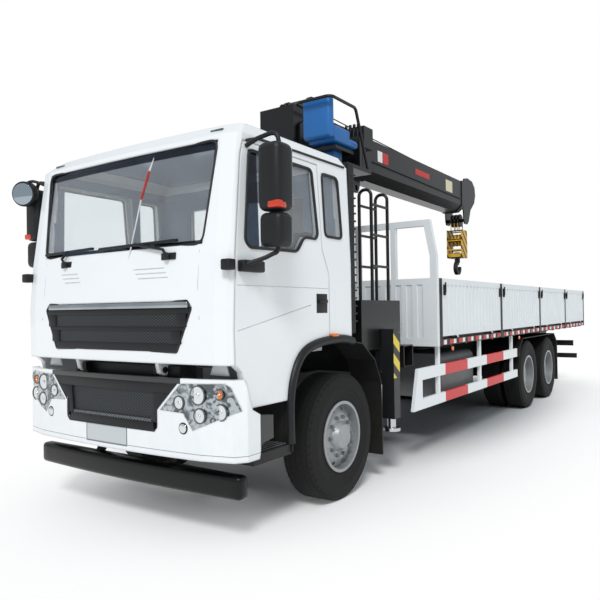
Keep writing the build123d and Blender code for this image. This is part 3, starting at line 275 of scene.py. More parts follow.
# Crane.
# Welded high-tensile boom and column in black gloss, with chromed hydraulic rods.
# Gloss black crane paint: near black with soft highlights
crane_black = coat(
    "gloss_black_crane_paint", "#08090a", "#0f1112", 0.34, clear=0.15, grain=200, bump=0.05, dirt=0.1,
    sheen=0.35,
)
repaint(
    ("crane_base", "crane_column", "boom_base", "boom_section_2", "boom_section_3", "luff_barrel"),
    crane_black,
)
# Hard chrome: a bright, even mirror along the rod
rod_chrome = coat("hard_chromed_rod", "#c8cbce", "#bfc2c5", 0.16, metal=1.0, grain=300)
repaint(("luff_rod", "outrigger_jack_left", "outrigger_jack_right"), rod_chrome)
# Forged dark steel: rough and slightly metallic
forged = coat("forged_dark_steel", "#2d2e30", "#3a3a3a", 0.5, metal=0.6, grain=60, bump=0.3)
repaint(("hook",), forged)
# Moulded blue plastic: strong blue with a soft sheen
seat_plastic = coat("moulded_blue_seat_plastic", "#1667ae", "#125a9c", 0.38, clear=0.1, grain=260, bump=0.1)
repaint(("operator_seat",), seat_plastic)

# Grille and lamps.
# Black ABS grille parts and clear polycarbonate lamp covers.
# Black ABS: even dark plastic with a faint grain
grille_black = coat("moulded_black_abs", "#101213", "#17191b", 0.45, grain=400, bump=0.15, sheen=0.35)
repaint(("grille_panel", "lower_grille", "mirror_left", "mirror_right"), grille_black)
# Clear cover over a faceted reflector: bright and dark patches painted into its colour as the reflector's
# reflections
lens = coat(
    "clear_cover_over_faceted_reflector", "#9aa3a9", "#6f787e", 0.16, metal=0.8, clear=1.0, grain=12,
)
tree = lens.node_tree
shader = tree.nodes["Principled BSDF"]
where = put(tree, "ShaderNodeTexCoord").outputs["Object"]
painted_reflections = put(
    tree, "ShaderNodeTexNoise", inputs={"Scale": 17.0, "Detail": 1.5, "Distortion": 1.2},
    links={"Vector": where},
)
contrast = put(
    tree, "ShaderNodeMapRange", inputs={"From Min": 0.42, "From Max": 0.58},
    links={"Value": painted_reflections.outputs["Fac"]},
)
# painted reflection: dark and bright patches stand in for what the chrome facets mirror
tree.links.new(mingled(tree, contrast.outputs[0], "#4a5359", "#b3bbc0"), shader.inputs["Base Color"])
facets = put(tree, "ShaderNodeTexVoronoi", inputs={"Scale": 24.0}, links={"Vector": where})
cut_glass = put(
    tree, "ShaderNodeBump", inputs={"Strength": 0.28, "Distance": 0.004},
    links={"Height": facets.outputs["Distance"]},
)
tree.links.new(cut_glass.outputs[0], shader.inputs["Normal"])
repaint(("headlamps",), lens)

# Wheels.
# Pressed steel rims, two a side on the driven axles, dipped and sprayed in silver paint.
# Silver wheel paint: satin grey with a light metallic grain
rim_silver = coat(
    "silver_painted_steel_rim", "#a8acaf", "#989da1", 0.4, metal=0.45, clear=0.2, grain=150, dirt=0.25,
)
repaint([n for n in nodes if n.startswith("rim")], rim_silver)

# Outrigger legs and hook block.
# Warning bands: yellow and black on the legs' upper half and across the yellow hook block.


def striped(name, first, second, direction, pitch, share=0.5, low=None, high=None):
    """Paint in two colours, in straight bands across a direction, inside an optional height range."""
    material, tree, shader, where = finish(name)
    along = vector(tree, "DOT_PRODUCT", where, direction).outputs["Value"]
    part = calc(tree, "FLOORED_MODULO", calc(tree, "DIVIDE", along, pitch), 1.0)
    last = calc(tree, "GREATER_THAN", part, share)
    if low is not None:
        parts = split(tree, where)
        outer_face = calc(tree, "GREATER_THAN", calc(tree, "ABSOLUTE", parts["X"]), 1.2235)
        inside = calc(
            tree, "MULTIPLY", calc(tree, "GREATER_THAN", parts["Z"], low),
            calc(tree, "LESS_THAN", parts["Z"], high),
        )
        last = calc(tree, "MULTIPLY", inside, calc(tree, "MULTIPLY", outer_face, last))
    wear = put(tree, "ShaderNodeTexNoise", inputs={"Scale": 30.0, "Detail": 5.0}, links={"Vector": where})
    tree.links.new(mingled(tree, last, first, second), shader.inputs["Base Color"])
    spread = put(
        tree, "ShaderNodeMapRange", inputs={"To Min": 0.3, "To Max": 0.5},
        links={"Value": wear.outputs["Fac"]},
    )
    tree.links.new(spread.outputs[0], shader.inputs["Roughness"])
    return material


# Black leg paint with yellow bands: the warning stripes that show first
leg_paint = striped(
    "black_leg_with_yellow_bands", "#141618", "#d8c43a", (0.0, 0.75, 1.0), 0.19, 0.5, 0.95, 1.39,
)
repaint(("outrigger_beam_left", "outrigger_beam_right"), leg_paint)
# Yellow block paint with black bands: the brightest spot of the crane
hook_yellow = striped("yellow_block_with_black_bands", "#dcae28", "#17181a", (0.0, 0.9, 1.0), 0.15, 0.66)
repaint(("hook_block",), hook_yellow)

# Side guards.
# White box section with a red field in each bay.
half_length = 5985.0


def station(distance):
    """Y in metres of a place so many millimetres behind the front bumper."""
    return (distance - half_length) / 1000


# White guard paint: satin white, broken by two plain red fields
guard_paint, tree, shader, where = finish("white_guard_with_red_fields")
along = split(tree, where)["Y"]
fields = []
for start, end in ((3750, 4490), (5240, 5990)):
    after = calc(tree, "GREATER_THAN", along, station(start))
    fields.append(calc(tree, "MULTIPLY", after, calc(tree, "LESS_THAN", along, station(end))))
red_field = calc(tree, "ADD", fields[0], fields[1])
tree.links.new(mingled(tree, red_field, "#dfe4e6", "#c8201f"), shader.inputs["Base Color"])
shader.inputs["Roughness"].default_value = 0.4
repaint(("side_guards",), guard_paint)

# Tyre tread.
# Moulded rubber with five ribs and blocks along both shoulders; the pattern is cut a few millimetres deep.


def treaded(name, distance):
    """Tyre rubber whose outer band is cut into skewed blocks round one axle."""
    material = coat(
        name, "#0d0e0f", "#151617", 0.75, grain=120, bump=0.3, dirt=0.15, dirt_colour="#2e2b27", sheen=0.3,
    )
    tree = material.node_tree
    shader = tree.nodes["Principled BSDF"]
    where = put(tree, "ShaderNodeTexCoord").outputs["Object"]
    moved = vector(tree, "SUBTRACT", where, (0, station(distance), axle_height / 1000)).outputs[0]
    across, along, up = split(tree, moved)
    radius = vector(tree, "LENGTH", vector(tree, "MULTIPLY", moved, (0, 1, 1)).outputs[0]).outputs["Value"]
    skew = calc(tree, "SINE", calc(tree, "MULTIPLY", across, 46.0))
    turns = calc(tree, "MULTIPLY_ADD", calc(tree, "ARCTAN2", along, up), 52 / math.tau, skew)
    cut = calc(tree, "LESS_THAN", calc(tree, "FRACT", turns), 0.24)
    groove = calc(tree, "LESS_THAN", calc(tree, "FRACT", calc(tree, "MULTIPLY", across, 18.0)), 0.2)
    on_tread = calc(tree, "GREATER_THAN", radius, 0.497)
    mask = calc(tree, "MULTIPLY", calc(tree, "MAXIMUM", cut, groove), on_tread)
    rings = calc(tree, "MULTIPLY", calc(tree, "SINE", calc(tree, "MULTIPLY", radius, 190.0)), 0.12)
    relief = put(
        tree, "ShaderNodeBump", inputs={"Strength": 0.9, "Distance": 0.008},
        links={"Height": calc(tree, "SUBTRACT", rings, mask)},
    )
    tree.links.new(shader.inputs["Normal"].links[0].from_socket, relief.inputs["Normal"])
    tree.links.new(relief.outputs[0], shader.inputs["Normal"])
    base = shader.inputs["Base Color"]
    # painted shade: the grooves are coloured darker than the rubber round them
    tree.links.new(mingled(tree, mask, base.links[0].from_socket, "#08090a"), base)
    return material


front_axle, drive_axles = 1540, (7340, 8690)
axle_height = 535
for label, distance, node in (
    ("front", front_axle, "tyre_front"),
    ("drive_1", drive_axles[0], "tyres_rear_1"),
    ("drive_2", drive_axles[1], "tyres_rear_2"),
):
    # Road tyre rubber: dull charcoal, its blocks edged by grooves painted near black as shade
    repaint((f"{node}_left", f"{node}_right"), treaded(f"tyre_rubber_{label}", distance))

# Wheel nuts.
# Ten hexagon steel nuts with a film of grey paint hold each wheel's disc on its hub studs.


def place(point):
    """A point (x, distance, height) in millimetres as a vector in metres."""
    return Vector((point[0] / 1000, station(point[1]), point[2] / 1000))


def alone(thing):
    """Selects one object and nothing else, and makes it the active one."""
    bpy.ops.object.select_all(action="DESELECT")
    thing.select_set(True)
    bpy.context.view_layer.objects.active = thing


def apply_bevel(thing, width, segments=2, angle=40):
    """Rounds a piece's sharp edges, in millimetres."""
    alone(thing)
    bevel = thing.modifiers.new("bevel", "BEVEL")
    bevel.width = width / 1000
    bevel.segments = segments
    bevel.limit_method = "ANGLE"
    bevel.angle_limit = math.radians(angle)
    bpy.ops.object.modifier_apply(modifier=bevel.name)
    bpy.ops.object.shade_smooth_by_angle(angle=math.radians(35))


def rod(name, start, end, radius, sides=24, bevel=0, tip=None):
    """A straight round or many-sided bar between two points, with an optional other radius at its tip."""
    a, b = place(start), place(end)
    turn = (b - a).to_track_quat("Z", "Y").to_euler()
    bpy.ops.object.select_all(action="DESELECT")
    bpy.ops.mesh.primitive_cone_add(
        vertices=sides,
        radius1=radius / 1000,
        radius2=(radius if tip is None else tip) / 1000,
        depth=(b - a).length,
        location=(a + b) / 2,
        rotation=turn,
    )
    thing = bpy.context.object
    thing.name = name
    bpy.ops.object.transform_apply(location=True, rotation=True, scale=True)
    if bevel:
        apply_bevel(thing, bevel, 2, 60)
    else:
        bpy.ops.object.shade_smooth_by_angle(angle=math.radians(35))
    return thing


def joined(name, things):
    """Makes several meshes one piece."""
    bpy.ops.object.select_all(action="DESELECT")
    for thing in things:
        thing.select_set(True)
    bpy.context.view_layer.objects.active = things[0]
    bpy.ops.object.join()
    things[0].name = name
    return things[0]


def dress(thing, body, material):
    """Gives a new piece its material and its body."""
    thing.data.materials.clear()
    thing.data.materials.append(material)
    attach(thing, body)
    return thing


def copied(thing, name, move):
    """A copy of a piece with its own mesh, moved by (x, distance, height) millimetres."""
    bpy.ops.object.select_all(action="DESELECT")
    thing.select_set(True)
    bpy.context.view_layer.objects.active = thing
    bpy.ops.object.duplicate(linked=False)
    twin = bpy.context.object
    twin.name = name
    twin.location = [value / 1000 for value in move]
    bpy.ops.object.transform_apply(location=True, rotation=True, scale=True)
    return twin


# Painted steel: darker and glossier than the rim round it
nut_steel = coat("painted_steel_nut", "#8b9093", "#7d8285", 0.35, metal=0.7, grain=200)
nut_circle, nuts = 165, 10
one_ring = []
for k in range(nuts):
    a = math.tau * (k + 0.5) / nuts
    spot = (front_axle + nut_circle * math.sin(a), axle_height + nut_circle * math.cos(a))
    one_ring.append(rod("nut", (1105, *spot), (1129, *spot), 18, 6, bevel=2))
    one_ring.append(rod("stud", (1128, *spot), (1140, *spot), 9, 12))
ring = joined("front_nuts_left", one_ring)
dress(copied(ring, "front_nuts_right", (-2245, 0, 0)), "wheel_front_right", nut_steel)
for n, distance in enumerate(drive_axles, 1):
    for side, across in (("left", -107), ("right", -2245 + 107)):
        twin = copied(ring, f"drive_nuts_{n}_{side}", (across, distance - front_axle, 0))
        dress(twin, f"wheels_rear_{n}_{side}", nut_steel)
dress(ring, "wheel_front_left", nut_steel)

# Cab shell paint.
# The shell's steel is white enamel outside; inside it is lined with grey felt, boards and a dark headlining.


def region(material, low, high, colour, less=None, rough=None):
    """Paints a material inside a box (x, distance, height) in mm, less an inner box if one is given."""
    tree = material.node_tree
    shader = tree.nodes["Principled BSDF"]
    where = put(tree, "ShaderNodeTexCoord").outputs["Object"]
    masks = []
    for box in [(low, high)] + ([less] if less else []):
        a, b = place(box[0]), place(box[1])
        sized = vector(tree, "DIVIDE", vector(tree, "SUBTRACT", where, (a + b) / 2).outputs[0], (b - a) / 2)
        parts = split(tree, vector(tree, "ABSOLUTE", sized.outputs[0]).outputs[0])
        most = calc(tree, "MAXIMUM", calc(tree, "MAXIMUM", parts[0], parts[1]), parts[2])
        masks.append(calc(tree, "LESS_THAN", most, 1.0))
    mask = calc(tree, "SUBTRACT", masks[0], masks[1], clamp=True) if less else masks[0]
    for key, kind, value in (("Base Color", "RGBA", linear(colour)), ("Roughness", "FLOAT", rough)):
        if value is None:
            continue
        surface = shader.inputs[key]
        painted = put(tree, "ShaderNodeMix", {"data_type": kind}, {"B": value}, {"Factor": mask})
        if surface.links:
            tree.links.new(surface.links[0].from_socket, painted.inputs["A"])
        else:
            painted.inputs["A"].default_value = surface.default_value
        tree.links.new(painted.outputs["Result"], surface)
    return material


# White enamel outside, felt and board inside: a dull blue-grey seen through the glass
shell_paint = coat(
    "white_enamel_with_grey_lining", "#e9edef", "#e2e7ea", 0.3, clear=0.6, grain=300, dirt=0.1, soft=22,
)
for low, high in (
    ((-1090, 115, 1290), (1090, 1640, 2010)),
    ((-1085, 195, 2000), (1085, 1640, 2400)),
    ((-1075, 255, 2390), (1075, 1640, 2840)),
    ((-900, 480, 2800), (900, 1550, 2935)),
):
    region(shell_paint, low, high, "#6287ad", rough=0.9)
repaint(("cab_shell",), shell_paint)

# Windscreen border and seals.
# A printed dark border hides the glue line, and a rubber seal follows every window's edge.


def rounded(corners, radius, steps=4):
    """A closed outline with each corner replaced by short chords round it."""
    out = []
    count = len(corners)
    for i, corner in enumerate(corners):
        here = Vector(corner)
        before, after = Vector(corners[i - 1]), Vector(corners[(i + 1) % count])
        reach = min(radius, (before - here).length * 0.45, (after - here).length * 0.45)
        start = here + (before - here).normalized() * reach
        stop = here + (after - here).normalized() * reach
        for step in range(steps + 1):
            t = step / steps
            out.append(tuple(start * (1 - t) ** 2 + here * 2 * t * (1 - t) + stop * t * t))
    return out


def path_of(name, points):
    """A line of edges through points (x, distance, height), drawn by extruding one vertex."""
    spots = [place(point) for point in points]
    bpy.ops.object.select_all(action="DESELECT")
    bpy.ops.mesh.primitive_plane_add(size=0.01, location=(0, 0, 0))
    thing = bpy.context.object
    thing.name = name
    bpy.ops.object.mode_set(mode="EDIT")
    bpy.ops.mesh.merge(type="CENTER")
    bpy.ops.transform.translate(value=spots[0])
    for before, after in zip(spots, spots[1:]):
        bpy.ops.mesh.extrude_vertices_move(TRANSFORM_OT_translate={"value": after - before})
    bpy.ops.object.mode_set(mode="OBJECT")
    return thing


def tube(name, points, radius, closed=False, sides=3):
    """A round bar, seal or hose along points (x, distance, height)."""
    thing = path_of(name, points)
    if closed:
        bpy.ops.object.mode_set(mode="EDIT")
        bpy.ops.mesh.select_all(action="DESELECT")
        bpy.ops.object.mode_set(mode="OBJECT")
        thing.data.vertices[0].select = True
        thing.data.vertices[len(points) - 1].select = True
        bpy.ops.object.mode_set(mode="EDIT")
        bpy.ops.mesh.edge_face_add()
        bpy.ops.object.mode_set(mode="OBJECT")
    bpy.ops.object.convert(target="CURVE")
    thing = bpy.context.object
    thing.data.bevel_depth = radius / 1000
    thing.data.bevel_resolution = sides
    thing.data.use_fill_caps = not closed
    bpy.ops.object.convert(target="MESH")
    thing = bpy.context.object
    bpy.ops.object.shade_smooth_by_angle(angle=math.radians(50))
    return thing


def screen_front(x, height):
    """The cab front's distance behind the bumper at X and height."""
    nose = 25 + max(0, height - 1640) * 30 / 370 if height < 2010 else 55 + (height - 2010) * 115 / 840
    return nose + 35 * (x / 1020) ** 2


def side_face(height):
    """The cab side's X at a height."""
    return 1150 - max(0, height - 2010) * 25 / 840


region(tinted, (-1150, -50, 1900), (1150, 430, 3000), "#3a4658", less=((-925, -60, 2110), (925, 440, 2745)))
# Black window rubber: a dull dark line round the glass
seal_rubber = coat("black_window_rubber", "#121314", "#1a1b1c", 0.55, grain=300, bump=0.1)

screen_edge = rounded([(-900, 2080), (900, 2080), (965, 2810), (-965, 2810)], 75, 6)
screen_seal = tube("screen_seal", [(x, screen_front(x, z) + 4, z) for x, z in screen_edge], 10, closed=True)
dress(screen_seal, "cab", seal_rubber)

door_glass = [
    (325, 2740),
    (1120, 2740),
    (1180, 2225),
    (1150, 2185),
    (980, 2185),
    (880, 2065),
    (300, 2055),
    (250, 2100),
]
quarter_glass = [(1270, 2735), (1520, 2735), (1560, 2220), (1290, 2220)]
for side, body in ((1, "door_left"), (-1, "door_right")):
    edge = rounded(door_glass, 45)
    seal = tube("door_glass_seal", [(side * side_face(z), d, z) for d, z in edge], 12, closed=True)
    dress(seal, body, seal_rubber)
    edge = rounded(quarter_glass, 50)
    seal = tube("quarter_seal", [(side * side_face(z), d, z) for d, z in edge], 12, closed=True)
    dress(seal, "cab", seal_rubber)
    rail = tube(
        "drip_rail",
        [
            (side * 1128, 300, 2800),
            (side * 1129, 420, 2838),
            (side * 1127, 900, 2846),
            (side * 1127, 1640, 2850),
        ],
        10,
    )
    dress(rail, "cab", seal_rubber)

# Wipers.
# Two pressed arms painted black, on pivots below the glass, each pulling a long rubber blade onto the screen.


def block(name, low, high, bevel=5, segments=2):
    """A bar or box between two corners (x, distance, height), with its edges rounded."""
    a, b = place(low), place(high)
    bpy.ops.object.select_all(action="DESELECT")
    bpy.ops.mesh.primitive_cube_add(size=1, location=(a + b) / 2)
    thing = bpy.context.object
    thing.name = name
    thing.scale = [abs(b[i] - a[i]) for i in range(3)]
    bpy.ops.object.transform_apply(location=True, rotation=True, scale=True)
    if bevel:
        apply_bevel(thing, bevel, segments)
    return thing


for pivot_x, from_x, to_x in ((-640, -880, -230), (540, -150, 680)):
    blade_z = 2108
    pieces = []
    middle = (from_x + to_x) / 2
    edge = [(x, screen_front(x, blade_z) - 12, blade_z + 6 * k) for k, x in enumerate((from_x, middle, to_x))]
    pieces.append(tube("blade", edge, 12))
    pivot = (pivot_x + 60, screen_front(pivot_x, 2010) - 20, 2012)
    pieces.append(
        tube(
            "arm",
            [
                pivot,
                (pivot_x + 20, screen_front(pivot_x, 2060) - 24, 2060),
                (middle, screen_front(middle, 2112) - 22, 2118),
            ],
            11,
        )
    )
    pieces.append(
        rod("pivot", (pivot[0], pivot[1] + 30, 2012), (pivot[0], pivot[1] - 14, 2012), 26, 20, bevel=4)
    )
    pieces.append(
        block(
            "base",
            (pivot[0] - 70, screen_front(pivot_x, 2012) - 8, 1985),
            (pivot[0] + 70, screen_front(pivot_x, 2012) + 20, 2035),
            6,
        )
    )
    dress(joined("wiper", pieces), "cab", grille_black)

# Aerial.
# A white glass-fibre whip with a red band, screwed to the panel under the windscreen.
# White glass fibre: smooth and half glossy
fibre_white = coat("white_glass_fibre", "#dfe2e3", "#d2d6d8", 0.4, grain=300)
# Red glass fibre: the same, in signal red
fibre_red = coat("red_glass_fibre", "#b3221f", "#9c1c1a", 0.4, grain=300)
whip = [
    rod("aerial_stem", (180, 60, 2005), (340, 50, 2440), 5, 12),
    rod("aerial_tip", (425, 57, 2640), (470, 60, 2730), 8, 12, tip=2),
]
dress(joined("aerial_white", whip), "cab", fibre_white)
dress(rod("aerial_red", (340, 50, 2440), (425, 57, 2640), 9, 16, bevel=3), "cab", fibre_red)

# Number plate and under-run bar.
# The blank plate is pressed aluminium with a dark rim, riveted flush; the bar is steel tube in black gloss.


def bent(name, stations, low, high, bevel=0):
    """A strip between two heights whose level outline runs along (x, front, back) stations."""
    outline = [(x, front, low) for x, front, _back in stations]
    outline += [(x, back, low) for x, _front, back in reversed(stations)]
    thing = path_of(name, outline)
    bpy.ops.object.mode_set(mode="EDIT")
    bpy.ops.mesh.select_all(action="SELECT")
    bpy.ops.mesh.edge_face_add()
    bpy.ops.mesh.extrude_region_move(TRANSFORM_OT_translate={"value": (0, 0, (high - low) / 1000)})
    bpy.ops.mesh.select_all(action="SELECT")
    bpy.ops.mesh.normals_make_consistent(inside=False)
    bpy.ops.object.mode_set(mode="OBJECT")
    if bevel:
        apply_bevel(thing, bevel, 3, 30)
    else:
        bpy.ops.object.shade_smooth_by_angle(angle=math.radians(35))
    return thing


region(cab_white, (-262, -40, 632), (212, 12, 778), "#5a6065", rough=0.4)
region(cab_white, (-252, -40, 642), (202, 12, 768), "#b7bdc1", rough=0.35)
# the bumper's joint line, the dark strip over its mouth and its dark rear ends
region(cab_white, (-1215, -40, 640), (1215, 480, 645), "#7d868c")
region(cab_white, (-735, -40, 1117), (735, 70, 1160), "#101415", rough=0.4)
for side in (-1, 1):
    region(cab_white, (side * 1160, 322, 590), (side * 1215, 480, 935), "#101415", rough=0.5)

# Gloss black on steel: nearly black with a thin highlight on its top
bar_black = coat("gloss_black_steel_bar", "#030404", "#060707", 0.3, clear=0.2, grain=60, sheen=0.2)
bar_spots = [-1128 + 2256 * k / 24 for k in range(25)]
bar = bent("under_run_cover", [(x, 140 + 44 * (x / 1128) ** 2, 290) for x in bar_spots], 322, 490, 34)
dress(bar, "chassis", bar_black)

# Upper grille.
# A gloss-black moulded frame snapped into the cab's front, with one broad bar across a wire mesh.


def row(name, low, high, back, front, bevel=0):
    """A strip across the cab's front between two heights, bent with it."""
    middle = (low + high) / 2
    reach = 690 + (middle - 1335) * 0.42 if middle < 1640 else 800
    spots = [-reach + 2 * reach * k / 24 for k in range(25)]
    return bent(
        name,
        [(x, screen_front(x, middle) + front, screen_front(x, middle) + back) for x in spots],
        low, high, bevel,
    )


def meshed(name, first, second, pitch, metal=0.0):
    """Wire mesh as crossed bands of light wire over a dark ground."""
    material = coat(name, first, first, 0.5, metal=metal, grain=200)
    tree = material.node_tree
    shader = tree.nodes["Principled BSDF"]
    parts = split(tree, put(tree, "ShaderNodeTexCoord").outputs["Object"])
    wires = []
    for slope in (1.6, -1.6):
        slanted = calc(tree, "MULTIPLY_ADD", parts["Z"], slope, parts["X"])
        part = calc(tree, "FLOORED_MODULO", calc(tree, "DIVIDE", slanted, pitch), 1.0)
        wires.append(calc(tree, "LESS_THAN", part, 0.26))
    wire = calc(tree, "MAXIMUM", wires[0], wires[1])
    tree.links.new(mingled(tree, wire, first, second), shader.inputs["Base Color"])
    relief = put(
        tree, "ShaderNodeBump", inputs={"Strength": 0.8, "Distance": 0.004}, links={"Height": wire},
    )
    tree.links.new(relief.outputs[0], shader.inputs["Normal"])
    return material


# Gloss black moulding: a sharp dark rim
gloss_black = coat("gloss_black_moulding", "#070809", "#0c0d0e", 0.2, clear=0.3, grain=300, sheen=0.4)
grille_edge = rounded([(-790, 1690), (790, 1690), (830, 1640), (690, 1335), (-690, 1335), (-830, 1640)], 14)
frame_piece = tube(
    "grille_frame", [(x, screen_front(x, z) + 5, z) for x, z in grille_edge], 11, closed=True,
)
dress(frame_piece, "cab", gloss_black)

# Polished chrome strip over the grille: its own light tint, with light and dark streaks painted into its
# colour as reflections
bright_strip = coat("chrome_strip_with_painted_reflections", "#c3c9cc", "#7d868b", 0.14, metal=1.0, grain=30)
dress(row("grille_strip", 1642, 1686, 12, -8, 8), "cab", bright_strip)
for low, high in ((1600, 1638), (1480, 1512), (1338, 1392)):
    dress(row("grille_bar", low, high, 14, -4, 5), "cab", grille_black)

# Black wire mesh: fine crossed wires, a shade lighter than the dark behind
wire_mesh = meshed("black_wire_mesh", "#050606", "#3a4044", 0.034, 0.2)
for low, high in ((1512, 1600), (1392, 1480)):
    dress(row("grille_mesh", low, high, 7, 3), "cab", wire_mesh)
for side in (-1, 1):
    for low, high in ((1512, 1600), (1392, 1480)):
        x0 = 690 + ((low + high) / 2 - 1335) * 0.42
        at = screen_front(x0, (low + high) / 2)
        end_cap = block(
            "grille_end", (side * (x0 - 90), at - 10, low - 2), (side * (x0 + 4), at + 8, high + 2), 3,
        )
        dress(end_cap, "cab", grille_black)

# Lower grille.
# A matt black surround moulded into the bumper's mouth, round a bright expanded-metal mesh.


def bow(x):
    """The bumper front's distance at X, in millimetres."""
    return 45 * (x / 900) ** 2


def plate(name, corners, at, depth):
    """A flat plate with an outline of (x, height) corners, from one distance back by a depth."""
    thing = path_of(name, [(x, at, z) for x, z in corners])
    bpy.ops.object.mode_set(mode="EDIT")
    bpy.ops.mesh.select_all(action="SELECT")
    bpy.ops.mesh.edge_face_add()
    bpy.ops.mesh.extrude_region_move(TRANSFORM_OT_translate={"value": (0, depth / 1000, 0)})
    bpy.ops.mesh.select_all(action="SELECT")
    bpy.ops.mesh.normals_make_consistent(inside=False)
    bpy.ops.object.mode_set(mode="OBJECT")
    apply_bevel(thing, 4, 2)
    return thing


mouth_edge = rounded(
    [(-712, 1118), (712, 1118), (520, 925), (520, 800), (490, 767), (-490, 767), (-520, 800), (-520, 925)],
    25,
)
mouth_frame = tube("mouth_frame", [(x, bow(x) + 16, z) for x, z in mouth_edge], 16, closed=True)
dress(mouth_frame, "chassis", gloss_black)

surround = [
    plate("mouth_top", [(-700, 1114), (700, 1114), (636, 1040), (-636, 1040)], 26, 18),
    plate("mouth_foot", [(-470, 830), (470, 830), (488, 772), (-488, 772)], 14, 26),
    block("radiator_beam", (-600, 160, 1110), (600, 340, 1228), 12),
]
for side in (-1, 1):
    cheek = [(side * x, z) for x, z in ((640, 1042), (470, 1042), (448, 828), (512, 828), (516, 925))]
    surround.append(plate("mouth_cheek", cheek, 22, 20))
dress(joined("mouth_surround", surround), "chassis", grille_black)
# Bright expanded mesh: small silver lozenges
silver_mesh = meshed("bright_expanded_mesh", "#0b0c0d", "#8d9498", 0.03, 0.5)
dress(block("mouth_mesh", (-470, 38, 850), (470, 42, 1042), 0), "chassis", wire_mesh)
dress(block("mouth_step", (-446, 22, 828), (446, 42, 852), 2), "chassis", silver_mesh)

# Headlamp insides.
# Aluminised plastic bowls, one amber turn lamp among them, screwed behind a clear polycarbonate cover.


def skin(node, x, height):
    """Distance behind the bumper at which a node's front surface is met at X and height, in millimetres."""
    hit, where, _normal, _face = nodes[node].ray_cast(
        Vector((x / 1000, -7, height / 1000)), Vector((0, 1, 0)),
    )
    return where.y * 1000 + half_length if hit else None


# Aluminised reflector: a clean bright mirror
bright = coat("aluminised_reflector", "#e6e9ea", "#d5dadc", 0.12, metal=1.0, grain=40)
# Grey lamp bezel: a mid grey ring
dark_bezel = coat("grey_lamp_bezel", "#60666a", "#4d5357", 0.35, metal=0.3, grain=200)
# Amber lamp plastic: warm orange with a clear shine
amber = coat("amber_lamp_plastic", "#e0761a", "#cc6312", 0.25, clear=0.4, grain=300)
for side in (-1, 1):
    bowls = []
    rings = []
    ambers = []
    for x, z, r, kind in (
        (715, 985, 46, 0), (880, 1045, 64, 0), (1040, 1055, 36, 1), (895, 905, 50, 0), (1050, 935, 54, 0),
    ):
        at = skin("headlamps", side * x, z)
        if at is None:
            continue
        front = at - 4
        turned_bowl = rod("bowl", (side * x, front + 8, z), (side * x, front + 1, z), r * 0.6, 32, tip=r)
        (ambers if kind else bowls).append(turned_bowl)
        angles = [math.tau * i / 28 for i in range(28)]
        circle = [(side * x + r * math.cos(t), front, z + r * math.sin(t)) for t in angles]
        rings.append(tube("ring", circle, 5, closed=True))
        bowls.append(rod("bulb", (side * x, front + 6, z), (side * x, front - 5, z), r * 0.22, 16, bevel=2))
    dress(joined("lamp_bowls", bowls), "chassis", bright)
    dress(joined("lamp_rings", rings), "chassis", dark_bezel)
    if ambers:
        dress(joined("lamp_turn", ambers), "chassis", amber)
    at = skin("front_bumper", side * 755, 812) or 40
    fog = rod("fog_rim", (side * 755, at + 20, 812), (side * 755, at - 3, 812), 42, 32, bevel=4)
    dress(fog, "chassis", gloss_black)
    fog_glass = rod("fog_glass", (side * 755, at + 10, 812), (side * 755, at - 6, 812), 33, 32, bevel=4)
    dress(fog_glass, "chassis", bright)

# Door fittings.
# A moulded handle set in a black bowl, bonded into each door's steel skin.
for side, body in ((1, "door_left"), (-1, "door_right")):
    bowl = block("handle_bowl", (side * 1147, 1140, 1590), (side * 1153, 1300, 1745), 3)
    grip = block("handle_grip", (side * 1151, 1160, 1668), (side * 1172, 1285, 1700), 7)
    dress(joined("door_handle", [bowl, grip]), body, grille_black)
    creases = [
        tube("crease", [(side * 1148.5, 155, 1480), (side * 1149.5, 1060, 1655)], 3),
        tube("crease", [(side * 1147.5, 155, 1790), (side * 1147.5, 1322, 1790)], 4),
    ]
    dress(joined("door_creases", creases), body, cab_white)

# Front panel lines.
# The panel under the windscreen has pressed louvres on both sides, and joints to the corner panels.
presses = []
for from_x, to_x in ((-640, -420), (250, 560)):
    for k in range(3):
        z = 1930 - 34 * k
        ends = (from_x + 26 * k, to_x + 20 * k)
        spots = [ends[0] + (ends[1] - ends[0]) * j / 4 for j in range(5)]
        presses.append(tube("louvre", [(x, screen_front(x, z) + 1, z) for x in spots], 4))
dress(joined("panel_louvres", presses), "cab", cab_white)
# Shadowed panel joint: a thin soft grey line
seam_grey = coat("shadowed_panel_joint", "#9ba4a9", "#8f989d", 0.6, grain=300)
for side in (-1, 1):
    seam = [(880, 2040), (880, 1790), (900, 1560)]
    line = tube("panel_seam", [(side * x, screen_front(x, z) + 2, z) for x, z in seam], 3)
    dress(line, "cab", seam_grey)

# Lamp brows.
# A short white steel panel stands over each headlamp, bolted to the cab's lower edge.
for side in (-1, 1):
    brow = plate(
        "lamp_brow",
        [(side * x, z) for x, z in ((850, 1166), (1030, 1166), (1005, 1250), (885, 1250))],
        205, 12,
    )
    dress(brow, "cab", cab_white)

# Wheel-arch trims and marker lamps.
# Flexible dark-grey plastic lips screwed round each front arch, with an orange lamp on top.


def sagging(points, steps=8):
    """A smooth hose line through its few given points."""
    out = []
    ends = [points[0]] + list(points) + [points[-1]]
    for a, b, c, d in zip(ends, ends[1:], ends[2:], ends[3:]):
        a, b, c, d = (Vector(p) for p in (a, b, c, d))
        for step in range(steps):
            t = step / steps
            out.append(tuple(0.5 * ((2 * b) + (c - a) * t + (2 * a - 5 * b + 4 * c - d) * t * t
                                    + (3 * b - a - 3 * c + d) * t ** 3)))
    return out + [points[-1]]


